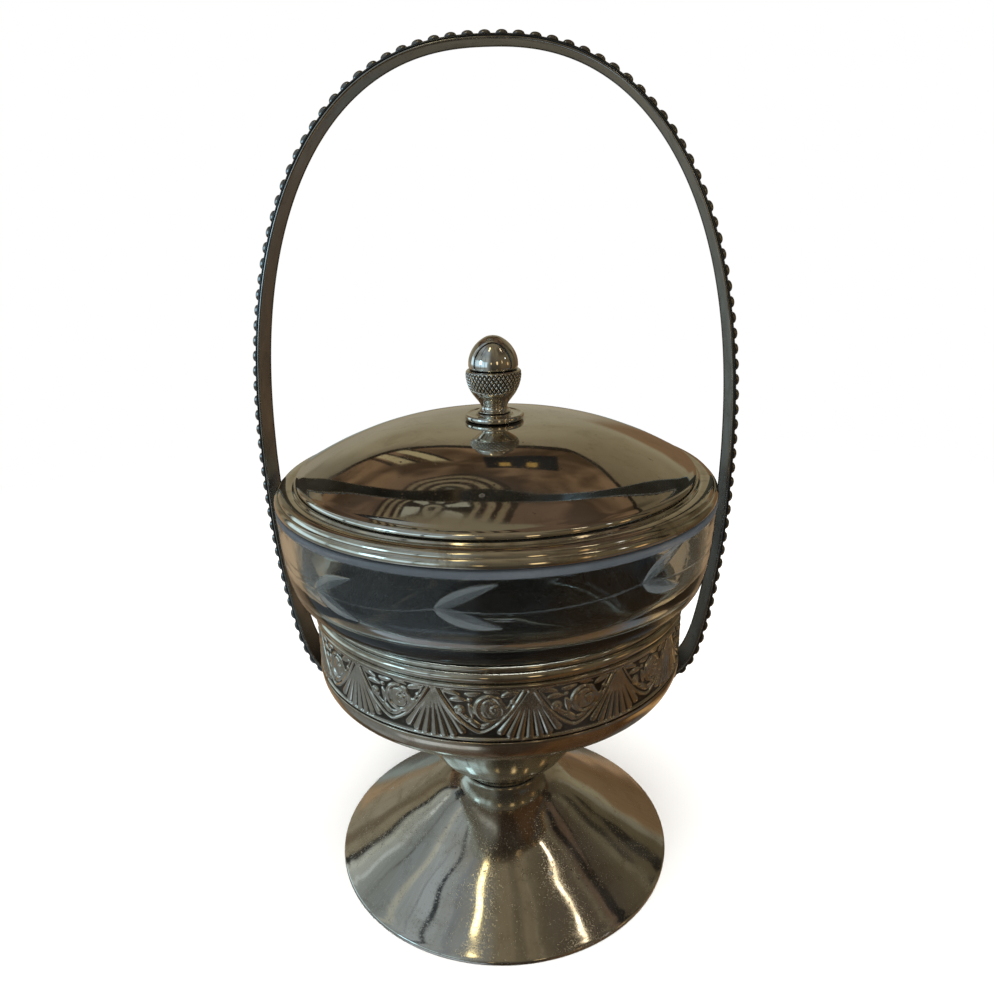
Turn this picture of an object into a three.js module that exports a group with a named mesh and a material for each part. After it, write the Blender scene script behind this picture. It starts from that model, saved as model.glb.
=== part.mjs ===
// Footed sugar bowl: a plated-metal stand with a tall hoop handle, a loose
// glass liner and a domed lid with an acorn finial. Millimetres, +Z up. The
// origin is the centre of the foot's rim on the table; the hoop lies in XZ.
import * as THREE from 'three';
import * as BufferGeometryUtils from 'three/addons/utils/BufferGeometryUtils.js';

// ---- driving dimensions -------------------------------------------------
const SEG = 40;                 // facets round the big turned pieces
const SEG_SMALL = 24;           // facets round the finial and fixings
const GAP = 0.3;                // joint gap between neighbouring pieces

const FOOT_R = 52.9;            // foot rim radius
const FOOT_RIM_IN = 50.0;       // inner edge of the flat rim it stands on
const WAIST_R = 12.4;           // narrowest place of the stem
const WAIST_Z = 27.1;           // top of the foot
const COLLAR_TOP_R = 28.0;      // stem collar where it meets the cup
const CUP_FLOOR_Z = 61.0;       // underside of the cup at the centre
const CUP_R = 54.0;             // cup's largest radius, under the band
const WALL_R = 52.6;            // cup wall outside, behind the band
const WALL_IN_R = 51.6;         // cup wall inside
const WALL_TOP_Z = 93.1;
const BAND_R = 54.1;            // embossed band over its borders
const BAND_Z0 = 73.5, BAND_Z1 = 88.3;
const RIM_Z1 = 94.5;            // top of the rim moulding
const RIM_R = 54.6;

const GLASS_R = 62.0;           // liner at its rim
const GLASS_TOP_Z = 123.0;
const GLASS_NECK_R = 51.1;      // part of the liner that drops into the cup
const GLASS_BASE_Z = 63.2;      // liner's foot ring

const LID_R = 62.0;             // lid's outer ring
const LID_Z0 = 123.3;
const DOME_R = 55.9, DOME_EDGE_Z = 128.2, DOME_TOP_Z = 141.6;
const BEZEL_R = 57.9, BEZEL_Z0 = 120.9;

const STUD_R = 1.9, STUD_HOLE_R = 2.2;
const DISC_R = 8.25, DISC_Z = 141.9;
const ACORN_R = 6.85, ACORN_TOP_Z = 165.2;
const SEAT_Z = 155.9;           // top of the acorn's cup
const KNURL_R = 7.75;

const HOOP_Z0 = 130.0;          // height at which the hoop is widest
const HOOP_A = 66.7;            // bead-tip half-width there
const HOOP_TOP_Z = 237.7;       // bead tip at the crown
const HOOP_POWER = 2.35;        // squareness of the arch
const STRIP_W = 11.0;           // strip width, front to back
const STRIP_T = 1.0;            // strip thickness
const BEAD_H = 0.85;            // bead wire above the joint gap
const BEAD_W = 2.6;             // bead wire width
const BEAD_Y = 4.0;             // bead wire centre from the hoop's middle plane
const STRIP_IN = 2.1;           // bead tip to the strip's inner face
const HOOP_STEPS = 72;

const BOLT_R = 3.0, BOLT_HOLE_R = 3.3;

// ---- finishes -----------------------------------------------------------
const silver = (c, r) => new THREE.MeshStandardMaterial({ color: c, roughness: r, metalness: 1.0 });
const M = {
  foot: silver(0x8f8a7c, 0.24), collar: silver(0x6f6d60, 0.26), cup: silver(0x7d6a55, 0.28),
  band: silver(0x77746c, 0.38), rim: silver(0x8b8577, 0.24), hoop: silver(0x5f5d57, 0.34),
  bead: silver(0x55534c, 0.34), dome: silver(0x8d897c, 0.14), border: silver(0x8a8679, 0.2),
  bezel: silver(0x8b9098, 0.35), disc: silver(0x9a958a, 0.2), knurl: silver(0xa9a59b, 0.3),
  acorn: silver(0x98938a, 0.14), fixing: silver(0x9c8a5a, 0.4),
  glass: new THREE.MeshStandardMaterial({ color: 0x9fb0bc, roughness: 0.06, metalness: 0.0, transparent: true, opacity: 0.35 }),
};

const root = new THREE.Group();
root.name = 'footed_sugar_bowl';
const lidGroup = new THREE.Group(); lidGroup.name = 'lid_group';
const linerGroup = new THREE.Group(); linerGroup.name = 'liner_group';
const standGroup = new THREE.Group(); standGroup.name = 'stand_group';
root.add(standGroup, linerGroup, lidGroup);

function addMesh(group, name, geometry, material) {
  const mesh = new THREE.Mesh(geometry, material);
  mesh.name = name;
  group.add(mesh);
  return mesh;
}

// A turned piece: its profile is a list of [radius, height] that runs counter-
// clockwise round the section (outwards along the bottom, up the outside, back
// along the top), and either closes on itself or starts and ends on the axis.
function turned(profile, seg) {
  const pts = profile.map(([r, z]) => new THREE.Vector2(r, z));
  const onAxis = profile[0][0] === 0 && profile[profile.length - 1][0] === 0;
  if (!onAxis) pts.push(pts[0].clone());
  let g = new THREE.LatheGeometry(pts, seg);
  g.rotateX(Math.PI / 2);            // lathe axis Y becomes Z
  g.deleteAttribute('normal');
  g.deleteAttribute('uv');
  g = BufferGeometryUtils.mergeVertices(g, 1e-4);
  // triangles that shrink to a line on the axis are left out
  const idx = g.getIndex().array, keep = [];
  for (let i = 0; i < idx.length; i += 3) {
    const a = idx[i], b = idx[i + 1], c = idx[i + 2];
    if (a !== b && b !== c && c !== a) keep.push(a, b, c);
  }
  g.setIndex(keep);
  return outward(g);
}

// Faces are turned to point out, whichever way the profile was given.
function outward(g) {
  const p = g.getAttribute('position'), idx = g.getIndex().array;
  const a = new THREE.Vector3(), b = new THREE.Vector3(), c = new THREE.Vector3();
  let vol = 0;
  for (let i = 0; i < idx.length; i += 3) {
    a.fromBufferAttribute(p, idx[i]); b.fromBufferAttribute(p, idx[i + 1]); c.fromBufferAttribute(p, idx[i + 2]);
    vol += a.dot(b.cross(c)) / 6;
  }
  if (vol < 0) {
    const flipped = [];
    for (let i = 0; i < idx.length; i += 3) flipped.push(idx[i], idx[i + 2], idx[i + 1]);
    g.setIndex(flipped);
  }
  g.computeVertexNormals();
  return g;
}

function clean(g) {
  g.deleteAttribute('normal');
  g.deleteAttribute('uv');
  g = BufferGeometryUtils.mergeVertices(g, 1e-4);
  return outward(g);
}

// ---- stand --------------------------------------------------------------
addMesh(standGroup, 'foot', turned([
  [FOOT_RIM_IN, 0], [FOOT_R, 0], [FOOT_R, 1.1], [51.7, 1.9], [33.6, 14.6],
  [18.4, 25.0], [15.4, 26.1], [13.0, 26.5], [WAIST_R, WAIST_Z], [BOLT_HOLE_R, WAIST_Z], [BOLT_HOLE_R, WAIST_Z - 1],
  [11.6, WAIST_Z - 1], [13.0, 25.5], [17.6, 24.0], [32.8, 13.4], [FOOT_RIM_IN, 1.3],
], SEG), M.foot);

addMesh(standGroup, 'stem_collar', turned([
  [BOLT_HOLE_R, WAIST_Z + GAP], [WAIST_R, WAIST_Z + GAP], [13.0, 28.2], [15.0, 29.9], [18.2, 32.8],
  [21.4, 36.4], [24.2, 41.6], [26.4, 50], [COLLAR_TOP_R, CUP_FLOOR_Z - GAP], [COLLAR_TOP_R - 1.1, CUP_FLOOR_Z - GAP],
  [25.3, 50.3], [23.2, 42.1], [20.5, 37.1], [17.4, 33.6], [14.2, 30.7], [12.0, WAIST_Z + GAP + 1], [BOLT_HOLE_R, WAIST_Z + GAP + 1],
], SEG), M.collar);

addMesh(standGroup, 'cup', turned([
  [BOLT_HOLE_R, CUP_FLOOR_Z], [35, 61.2], [41.5, 62.1], [46.4, 63.5], [50, 65.3],
  [52.4, 67.6], [53.7, 70.4], [CUP_R, 73.0], [WALL_R, 73.2], [WALL_R, WALL_TOP_Z],
  [WALL_IN_R, WALL_TOP_Z], [WALL_IN_R, 72.6], [50.9, 69.4], [48.8, 66.7], [45.6, 64.6],
  [40.8, 63.2], [34.6, 62.3], [BOLT_HOLE_R, CUP_FLOOR_Z + 1.1],
], SEG), M.cup);

addMesh(standGroup, 'embossed_band', turned([
  [WALL_R + GAP, BAND_Z0], [BAND_R, BAND_Z0], [BAND_R, 74.5], [53.8, 75.1], [53.8, 87.1],
  [54.0, 87.5], [54.0, BAND_Z1], [WALL_R + GAP, BAND_Z1],
], SEG), M.band);

addMesh(standGroup, 'cup_rim_moulding', turned([
  [WALL_R + GAP, BAND_Z1 + GAP], [54.1, BAND_Z1 + GAP], [54.1, 89.3], [53.2, 89.9],
  [54.2, 90.6], [RIM_R, 91.6], [54.1, 92.6], [53.4, 93.1], [53.9, 93.8], [53.3, RIM_Z1],
  [52.3, RIM_Z1], [51.7, 93.9], [51.7, WALL_TOP_Z + GAP], [WALL_R + GAP, WALL_TOP_Z + GAP],
], SEG), M.rim);

// Hoop: the line through the bead tips, in the XZ plane, from the end under
// the cup on the left, over the crown, to the end under it on the right.
const LOWER = [                       // right half, bottom to top, [x, z]
  [38.5, 59.1], [43.5, 59.7], [48.2, 60.2], [52.2, 61.2], [55.6, 63.4],
  [58.3, 67.0], [60.5, 72.4], [62.2, 79.5], [63.9, 90.0], [65.2, 100.5],
  [66.15, 112.0],
];
function tipPoints() {
  const right = LOWER.map(([x, z]) => [x, z]);
  const n = 16;
  for (let i = 0; i <= n; i++) {      // superellipse quadrant
    const a = (i / n) * Math.PI / 2;
    right.push([
      HOOP_A * Math.pow(Math.cos(a), 2 / HOOP_POWER),
      HOOP_Z0 + (HOOP_TOP_Z - HOOP_Z0) * Math.pow(Math.sin(a), 2 / HOOP_POWER),
    ]);
  }
  const left = right.slice(0, -1).map(([x, z]) => [-x, z]);
  return left.concat(right.reverse());
}
const tipCurve = new THREE.CatmullRomCurve3(
  tipPoints().map(([x, z]) => new THREE.Vector3(x, 0, z)), false, 'centripetal');

// A line parallel to the bead tips, a distance inside them, at some depth Y.
function hoopLine(inside, y) {
  const n = HOOP_STEPS, pts = [];
  tipCurve.arcLengthDivisions = 2000;
  for (let i = 0; i <= n; i++) {
    const u = i / n, p = tipCurve.getPointAt(u), t = tipCurve.getTangentAt(u);
    pts.push(new THREE.Vector3(p.x + t.z * inside, y, p.z - t.x * inside));
  }
  return new THREE.CatmullRomCurve3(pts, false, 'centripetal');
}
function sweep(outline, line, steps) {
  const shape = new THREE.Shape(outline.map(([a, b]) => new THREE.Vector2(a, b)));
  return clean(new THREE.ExtrudeGeometry(shape, {
    steps, extrudePath: line, bevelEnabled: false, curveSegments: 1,
  }));
}
const w = STRIP_W / 2, t = STRIP_T / 2, c = 0.25;
addMesh(standGroup, 'handle_strip', sweep([
  [-w, -t + c], [-w + c, -t], [w - c, -t], [w, -t + c],
  [w, t - c], [w - c, t], [-w + c, t], [-w, t - c],
], hoopLine(STRIP_IN - STRIP_T / 2, 0), HOOP_STEPS), M.hoop);

const bw = BEAD_W / 2, bh = BEAD_H / 2;
const wireOutline = [[-bw, bh], [-bw, 0], [-bw * 0.5, -bh], [bw * 0.5, -bh], [bw, 0], [bw, bh]];
addMesh(standGroup, 'front_bead_wire', sweep(wireOutline, hoopLine(BEAD_H / 2, -BEAD_Y), HOOP_STEPS), M.bead);
addMesh(standGroup, 'rear_bead_wire', sweep(wireOutline, hoopLine(BEAD_H / 2, BEAD_Y), HOOP_STEPS), M.bead);

// Tie bolt through the stem, with its washer and nut up inside the foot.
addMesh(standGroup, 'stem_bolt', turned([
  [0, 17.6], [2.3, 17.6], [BOLT_R, 18.3], [BOLT_R, 62.4], [6.6, 62.4], [6.6, 63.8],
  [5.2, 65.0], [0, 65.2],
], SEG_SMALL), M.fixing);
addMesh(standGroup, 'stem_washer', turned([
  [BOLT_HOLE_R, 24.6], [9.0, 24.6], [9.0, 25.8], [BOLT_HOLE_R, 25.8],
], SEG_SMALL), M.fixing);

function hexNut(acrossFlats, hole, z0, z1) {
  const s = new THREE.Shape(), R = acrossFlats / Math.sqrt(3);
  for (let i = 0; i < 6; i++) {
    const a = (i + 0.5) * Math.PI / 3;
    if (i) s.lineTo(R * Math.cos(a), R * Math.sin(a)); else s.moveTo(R * Math.cos(a), R * Math.sin(a));
  }
  s.closePath();
  const h = new THREE.Path();
  h.absarc(0, 0, hole, 0, Math.PI * 2, true);
  s.holes.push(h);
  const g = new THREE.ExtrudeGeometry(s, { depth: z1 - z0, bevelEnabled: false, curveSegments: 12, steps: 1 });
  g.translate(0, 0, z0);
  return clean(g);
}
addMesh(standGroup, 'stem_nut', hexNut(10, BOLT_HOLE_R, 20.3, 24.3), M.fixing);

// ---- glass liner --------------------------------------------------------
addMesh(linerGroup, 'glass_liner', turned([
  [0, 66.4], [25.5, 66.4], [28, GLASS_BASE_Z], [33, GLASS_BASE_Z], [40, 64.4],
  [45, 66.2], [48.6, 69.2], [50.4, 72.8], [GLASS_NECK_R, 77], [GLASS_NECK_R, 94.4],
  [52.6, 95.1], [55.2, 96.0], [57.6, 97.4], [59.1, 99.4], [60.0, 102.2], [60.6, 105.0],
  [61.1, 109], [61.6, 114], [GLASS_R, 121.4], [61.4, GLASS_TOP_Z], [59.2, GLASS_TOP_Z],
  [58.7, 122.3], [58.4, 117], [57.9, 110], [57.2, 105], [55.6, 101.6], [52.8, 99.5],
  [49.6, 97.8], [47.7, 95], [47.2, 78.6], [45.4, 74.2], [41.6, 71.2], [36, 70], [0, 69.8],
], SEG), M.glass);

// ---- lid ----------------------------------------------------------------
const domeZ = (r) => {                // spherical cap, fuller between crown and shoulder
  const h = DOME_TOP_Z - 129.0, R = (55.7 * 55.7 + h * h) / (2 * h);
  const full = r < 54 ? 1.5 * Math.sin(Math.PI * Math.pow(r / 54, 1.2)) : 0;
  return DOME_TOP_Z - (R - Math.sqrt(R * R - r * r)) + full;
};
addMesh(lidGroup, 'lid_dome', turned([
  [55.1, DOME_EDGE_Z - 0.3], [DOME_R, DOME_EDGE_Z - 0.3], [DOME_R, 128.5], [55.2, 129.2], [54.2, domeZ(54.2)],
  [51, domeZ(51) + 0.1], [46, domeZ(46)], [40, domeZ(40)], [28, domeZ(28)], [14, domeZ(14)],
  [STUD_HOLE_R, DOME_TOP_Z], [STUD_HOLE_R, DOME_TOP_Z - 0.9],
  [14, domeZ(14) - 0.9], [27.8, domeZ(28) - 0.9], [39.7, domeZ(40) - 0.9], [45.6, domeZ(46) - 0.9],
  [50.5, domeZ(51) - 0.85], [53.6, domeZ(54.2) - 0.9], [54.6, 128.6],
], SEG), M.dome);

addMesh(lidGroup, 'lid_border_ring', turned([
  [58.9, LID_Z0], [61.7, LID_Z0], [LID_R, 123.9], [61.8, 124.8], [61.1, 125.5],
  [60.7, 125.6], [60.4, 126.2], [59.6, 126.8], [58.4, 127.1], [57.1, 127.1],
  [56.3, 127.6], [55.2, 127.6], [55.2, 126.7], [57.9, 126.4], [58.4, 125.2],
], SEG), M.border);

addMesh(lidGroup, 'lid_bezel', turned([
  [BEZEL_R - 0.8, BEZEL_Z0], [BEZEL_R, BEZEL_Z0], [BEZEL_R, 126.1], [BEZEL_R - 0.8, 126.1],
], SEG), M.bezel);

addMesh(lidGroup, 'finial_disc', turned([
  [STUD_HOLE_R, DISC_Z], [7.7, DISC_Z], [DISC_R, 142.4], [DISC_R, 143.2], [7.8, 143.65],
  [6.4, 143.6], [5.2, 143.9], [STUD_HOLE_R, 143.9],
], SEG_SMALL), M.disc);

addMesh(lidGroup, 'finial_cup', turned([
  [STUD_HOLE_R, 144.2], [4.7, 144.2], [3.9, 144.8], [3.7, 145.8], [4.2, 146.8],
  [5.7, 148.9], [6.9, 150.8], [7.6, 152.8], [KNURL_R, 154.3], [7.55, 155.4], [7.1, SEAT_Z],
  [5.7, SEAT_Z], [5.5, SEAT_Z - 0.9], [STUD_HOLE_R, SEAT_Z - 0.9],
], SEG_SMALL), M.knurl);

// The acorn is a cap nut: a blind hole from below, so its section starts and
// ends on the axis.
addMesh(lidGroup, 'finial_acorn', turned([
  [0, 160.4], [STUD_HOLE_R, 160.0], [STUD_HOLE_R, SEAT_Z - 0.6], [5.2, SEAT_Z - 0.6], [5.4, SEAT_Z + 0.3],
  [6.6, SEAT_Z + 0.3], [ACORN_R, 157.0], [6.75, 158.4], [6.15, 160.2], [5.2, 161.9], [4.0, 163.3],
  [2.4, 164.5], [0.9, 165.1], [0, ACORN_TOP_Z],
], SEG_SMALL), M.acorn);

addMesh(lidGroup, 'finial_stud', turned([
  [0, 134.8], [1.5, 134.8], [STUD_R, 135.2], [STUD_R, 159.3], [1.5, 159.7], [0, 159.7],
], 16), M.fixing);
addMesh(lidGroup, 'finial_washer', turned([
  [STUD_HOLE_R, 139.1], [6.0, 139.1], [6.0, 140.0], [STUD_HOLE_R, 140.0],
], SEG_SMALL), M.fixing);
addMesh(lidGroup, 'finial_nut', hexNut(7, STUD_HOLE_R, 136.2, 138.8), M.fixing);

export default root;
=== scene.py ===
import bpy
import math
import numpy as np
from mathutils import Matrix, Vector


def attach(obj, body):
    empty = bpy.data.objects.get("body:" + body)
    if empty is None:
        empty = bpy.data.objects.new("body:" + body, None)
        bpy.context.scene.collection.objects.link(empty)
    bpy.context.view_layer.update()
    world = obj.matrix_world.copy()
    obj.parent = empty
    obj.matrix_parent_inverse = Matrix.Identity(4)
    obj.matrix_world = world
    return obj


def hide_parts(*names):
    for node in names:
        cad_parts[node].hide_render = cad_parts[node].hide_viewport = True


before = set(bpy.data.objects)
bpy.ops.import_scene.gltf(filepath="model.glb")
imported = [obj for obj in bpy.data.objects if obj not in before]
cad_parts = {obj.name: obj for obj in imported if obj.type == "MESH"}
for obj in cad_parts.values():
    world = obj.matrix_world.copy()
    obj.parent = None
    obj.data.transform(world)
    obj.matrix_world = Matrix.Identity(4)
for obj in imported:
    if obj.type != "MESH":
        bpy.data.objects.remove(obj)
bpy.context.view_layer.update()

# Footed sugar bowl: plated stand with a tall beaded hoop, loose glass liner
# with wheel-cut leaves, domed lid with an acorn finial. Lengths below are in
# millimetres and become metres in build_mesh().
MM = 0.001
ALPHA = math.radians(3.0)      # camera's azimuth round the bowl, toward +X
TAU = 2.0 * math.pi


# ---------------------------------------------------------------- profiles
def _length(p):
    return float(np.sum(np.hypot(*np.diff(p, axis=0).T)))


def _spline(pts, step):
    """Centripetal Catmull-Rom through the points; a straight run is only divided."""
    pts = np.asarray(pts, float)
    if len(pts) == 2:
        n = max(1, int(round(_length(pts) / 2.0)))
        return np.array([pts[0] + (pts[1] - pts[0]) * k / n for k in range(n + 1)])
    ext = np.vstack([2 * pts[0] - pts[1], pts, 2 * pts[-1] - pts[-2]])
    out = [pts[0]]
    for k in range(1, len(ext) - 2):
        p0, p1, p2, p3 = ext[k - 1], ext[k], ext[k + 1], ext[k + 2]
        t1 = math.sqrt(np.linalg.norm(p1 - p0))
        t2 = t1 + math.sqrt(np.linalg.norm(p2 - p1))
        t3 = t2 + math.sqrt(np.linalg.norm(p3 - p2))
        n = max(2, int(math.ceil(np.linalg.norm(p2 - p1) / step)))
        for m in range(1, n + 1):
            t = t1 + (t2 - t1) * m / n
            a1 = (t1 - t) / t1 * p0 + t / t1 * p1
            a2 = (t2 - t) / (t2 - t1) * p1 + (t - t1) / (t2 - t1) * p2
            a3 = (t3 - t) / (t3 - t2) * p2 + (t - t2) / (t3 - t2) * p3
            b1 = (t2 - t) / t2 * a1 + t / t2 * a2
            b2 = (t3 - t) / (t3 - t1) * a2 + (t - t1) / (t3 - t1) * a3
            out.append((t2 - t) / (t2 - t1) * b1 + (t - t1) / (t2 - t1) * b2)
    return np.array(out)


def _trim(p, d):
    """Cuts length d from the end of polyline p."""
    p = [np.array(q) for q in p]
    while len(p) > 2:
        s = np.linalg.norm(p[-1] - p[-2])
        if s > d:
            break
        d -= s
        p.pop()
    s = np.linalg.norm(p[-1] - p[-2])
    p[-1] = p[-1] + (p[-2] - p[-1]) * min(d / s, 0.95)
    return np.array(p)


def rounded(points, trim=0.25, step=0.5, arc=4, closed=True):
    """Profile with its corners rounded. Each point is (r, z) for a corner,
    (r, z, cut) for a corner with its own cut, or (r, z, 's') for a smooth point."""
    items = [(float(p[0]), float(p[1]), (p[2] if len(p) > 2 else trim)) for p in points]
    first = next(i for i, p in enumerate(items) if p[2] != 's')
    if closed:
        items = items[first:] + items[:first] + [items[first]]
    runs, cuts, run = [], [], [items[0][:2]]
    cuts.append(0.0 if not closed else items[0][2])
    for p in items[1:]:
        run.append(p[:2])
        if p[2] != 's':
            runs.append(_spline(run, step))
            cuts.append(p[2])
            run = [p[:2]]
    if not closed:
        cuts[-1] = 0.0
    lens = [_length(r) for r in runs]
    out, n = [], len(runs)
    parts = []
    for i, r in enumerate(runs):
        before = cuts[i]
        after = cuts[i + 1]
        if closed and i == n - 1:
            after = cuts[0]
        a = min(before, 0.45 * lens[i], 0.45 * lens[i - 1]) if (closed or i > 0) else 0.0
        nxt = lens[(i + 1) % n]
        b = min(after, 0.45 * lens[i], 0.45 * nxt) if (closed or i < n - 1) else 0.0
        if a > 0:
            r = _trim(r[::-1], a)[::-1]
        if b > 0:
            r = _trim(r, b)
        parts.append((r, a, b))
    for i, (r, a, b) in enumerate(parts):
        out.extend(r.tolist())
        last = i == n - 1
        if last and not closed:
            break
        if b > 0:
            nr = parts[(i + 1) % n][0]
            corner = runs[i][-1]
            for k in range(1, arc):
                t = k / arc
                out.append(((1 - t) ** 2 * r[-1] + 2 * t * (1 - t) * corner + t * t * nr[0]).tolist())
    p = np.array(out)
    keep = [0]
    for i in range(1, len(p)):
        if np.linalg.norm(p[i] - p[keep[-1]]) > 1e-4:
            keep.append(i)
    p = p[keep]
    if closed and np.linalg.norm(p[0] - p[-1]) < 1e-4:
        p = p[:-1]
    if not closed:
        p[0, 0] = 0.0
        p[-1, 0] = 0.0
    return p


def waves(seed, theta, s, amp, k_lo=2, k_hi=12, wl=(9.0, 40.0), count=14):
    """Slow hand-finished unevenness over angle theta and length s (mm)."""
    rng = np.random.RandomState(seed)
    out = np.zeros(np.broadcast(theta, s).shape)
    for _ in range(count):
        k = rng.randint(k_lo, k_hi + 1)
        lam = rng.uniform(*wl)
        a = rng.uniform(0.3, 1.0) / math.sqrt(k)
        p, q = rng.uniform(0, TAU, 2)
        out = out + a * np.sin(k * theta + p) * np.sin(s * TAU / lam + q)
    return out * amp / math.sqrt(count) * 1.6


# ------------------------------------------------------------------ meshes
def build_mesh(name, co, quads, tris=None):
    me = bpy.data.meshes.new(name)
    co = np.ascontiguousarray(np.asarray(co, np.float64) * MM, dtype=np.float32)
    quads = np.asarray(quads, np.int32).reshape(-1, 4)
    tris = np.zeros((0, 3), np.int32) if tris is None else np.asarray(tris, np.int32).reshape(-1, 3)
    nq, nt = len(quads), len(tris)
    me.vertices.add(len(co))
    me.vertices.foreach_set("co", co.ravel())
    loops = np.concatenate([quads.ravel(), tris.ravel()]).astype(np.int32)
    me.loops.add(len(loops))
    me.loops.foreach_set("vertex_index", loops)
    me.polygons.add(nq + nt)
    starts = np.concatenate([np.arange(nq) * 4, nq * 4 + np.arange(nt) * 3]).astype(np.int32)
    me.polygons.foreach_set("loop_start", starts)
    me.polygons.foreach_set("use_smooth", np.ones(nq + nt, bool))
    me.update(calc_edges=True)
    me.validate()
    return me


def attribute(me, name, values):
    a = me.attributes.new(name, 'FLOAT', 'POINT')
    a.data.foreach_set("value", np.ascontiguousarray(values, dtype=np.float32))


def place(name, me, material, body, node, sharp=38.0):
    """A new piece in the row frame that stands for one CAD node."""
    if sharp:
        me.set_sharp_from_angle(angle=math.radians(sharp))
    me.materials.append(material)
    o = bpy.data.objects.new(name, me)
    bpy.context.scene.collection.objects.link(o)
    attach(o, body)
    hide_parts(node)
    return o


def oriented(p):
    """Profile turned so that the lathe's faces point out."""
    area = 0.5 * np.sum(p[:, 0] * np.roll(p[:, 1], -1) - np.roll(p[:, 0], -1) * p[:, 1])
    return p[::-1] if area < 0 else p


def lathe(profile, n, warp=None):
    """Closed body of revolution. warp(R, Z, TH) moves the rings a little."""
    p = oriented(np.asarray(profile, float))
    th = np.arange(n) * TAU / n
    axis = p[0, 0] < 1e-6 and p[-1, 0] < 1e-6
    R = np.repeat(p[:, :1], n, 1)
    Z = np.repeat(p[:, 1:], n, 1)
    TH = np.repeat(th[None, :], len(p), 0)
    if warp is not None:
        R, Z = warp(R, Z, TH)
    co = np.stack([R * np.cos(TH), R * np.sin(TH), Z], -1)
    m = len(p)
    idx = np.arange(m * n).reshape(m, n)
    if not axis:
        a, b = idx, np.roll(idx, -1, 0)
        quads = np.stack([a, np.roll(a, -1, 1), np.roll(b, -1, 1), b], -1).reshape(-1, 4)
        return co.reshape(-1, 3), quads, None
    body = co[1:-1].reshape(-1, 3)
    idx = np.arange((m - 2) * n).reshape(m - 2, n)
    lo, hi = (m - 2) * n, (m - 2) * n + 1
    body = np.vstack([body, [0, 0, p[0, 1]], [0, 0, p[-1, 1]]])
    a, b = idx[:-1], idx[1:]
    quads = np.stack([a, np.roll(a, -1, 1), np.roll(b, -1, 1), b], -1).reshape(-1, 4)
    t0 = np.stack([np.full(n, lo), np.roll(idx[0], -1), idx[0]], -1)
    t1 = np.stack([np.full(n, hi), idx[-1], np.roll(idx[-1], -1)], -1)
    return body, quads, np.vstack([t0, t1])


def sweep(section, centres, tangents, normals, binormals):
    """Closed tube: section (S, 2) or (M, S, 2) in (normal, binormal) at each of M stations."""
    m = len(centres)
    section = np.asarray(section, float)
    if section.ndim == 2:
        section = np.repeat(section[None], m, 0)
    s = section.shape[1]
    co = centres[:, None] + section[..., :1] * normals[:, None] + section[..., 1:] * binormals[:, None]
    idx = np.arange(m * s).reshape(m, s)
    a, b = idx[:-1], idx[1:]
    quads = np.stack([a, np.roll(a, -1, 1), np.roll(b, -1, 1), b], -1).reshape(-1, 4)
    co = co.reshape(-1, 3)
    c0, c1 = m * s, m * s + 1
    co = np.vstack([co, co[idx[0]].mean(0), co[idx[-1]].mean(0)])
    t0 = np.stack([np.full(s, c0), np.roll(idx[0], -1), idx[0]], -1)
    t1 = np.stack([np.full(s, c1), idx[-1], np.roll(idx[-1], -1)], -1)
    vol = signed_volume(co, quads, np.vstack([t0, t1]))
    tris = np.vstack([t0, t1])
    if vol < 0:
        quads, tris = quads[:, ::-1], tris[:, ::-1]
    return co, quads, tris


def signed_volume(co, quads, tris):
    t = np.vstack([quads[:, [0, 1, 2]], quads[:, [0, 2, 3]], tris])
    a, b, c = co[t[:, 0]], co[t[:, 1]], co[t[:, 2]]
    return float(np.einsum('ij,ij->i', a, np.cross(b, c)).sum() / 6.0)


def ring_prism(outer, inner, levels):
    """Nut or washer with a hole: outer and inner loops of n points at each of
    the (z, outer scale, inner scale) levels, going up the outside and down the inside."""
    n = len(outer)
    rings = []
    for z, so, si in levels:
        rings.append(np.column_stack([outer * so, np.full(n, z)]))
    for z, so, si in levels[::-1]:
        rings.append(np.column_stack([inner * si, np.full(n, z)]))
    co = np.array(rings)
    m = len(co)
    idx = np.arange(m * n).reshape(m, n)
    a, b = idx, np.roll(idx, -1, 0)
    quads = np.stack([a, np.roll(a, -1, 1), np.roll(b, -1, 1), b], -1).reshape(-1, 4)
    co = co.reshape(-1, 3)
    if signed_volume(co, quads, np.zeros((0, 3), int)) < 0:
        quads = quads[:, ::-1]
    return co, quads, None


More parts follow.
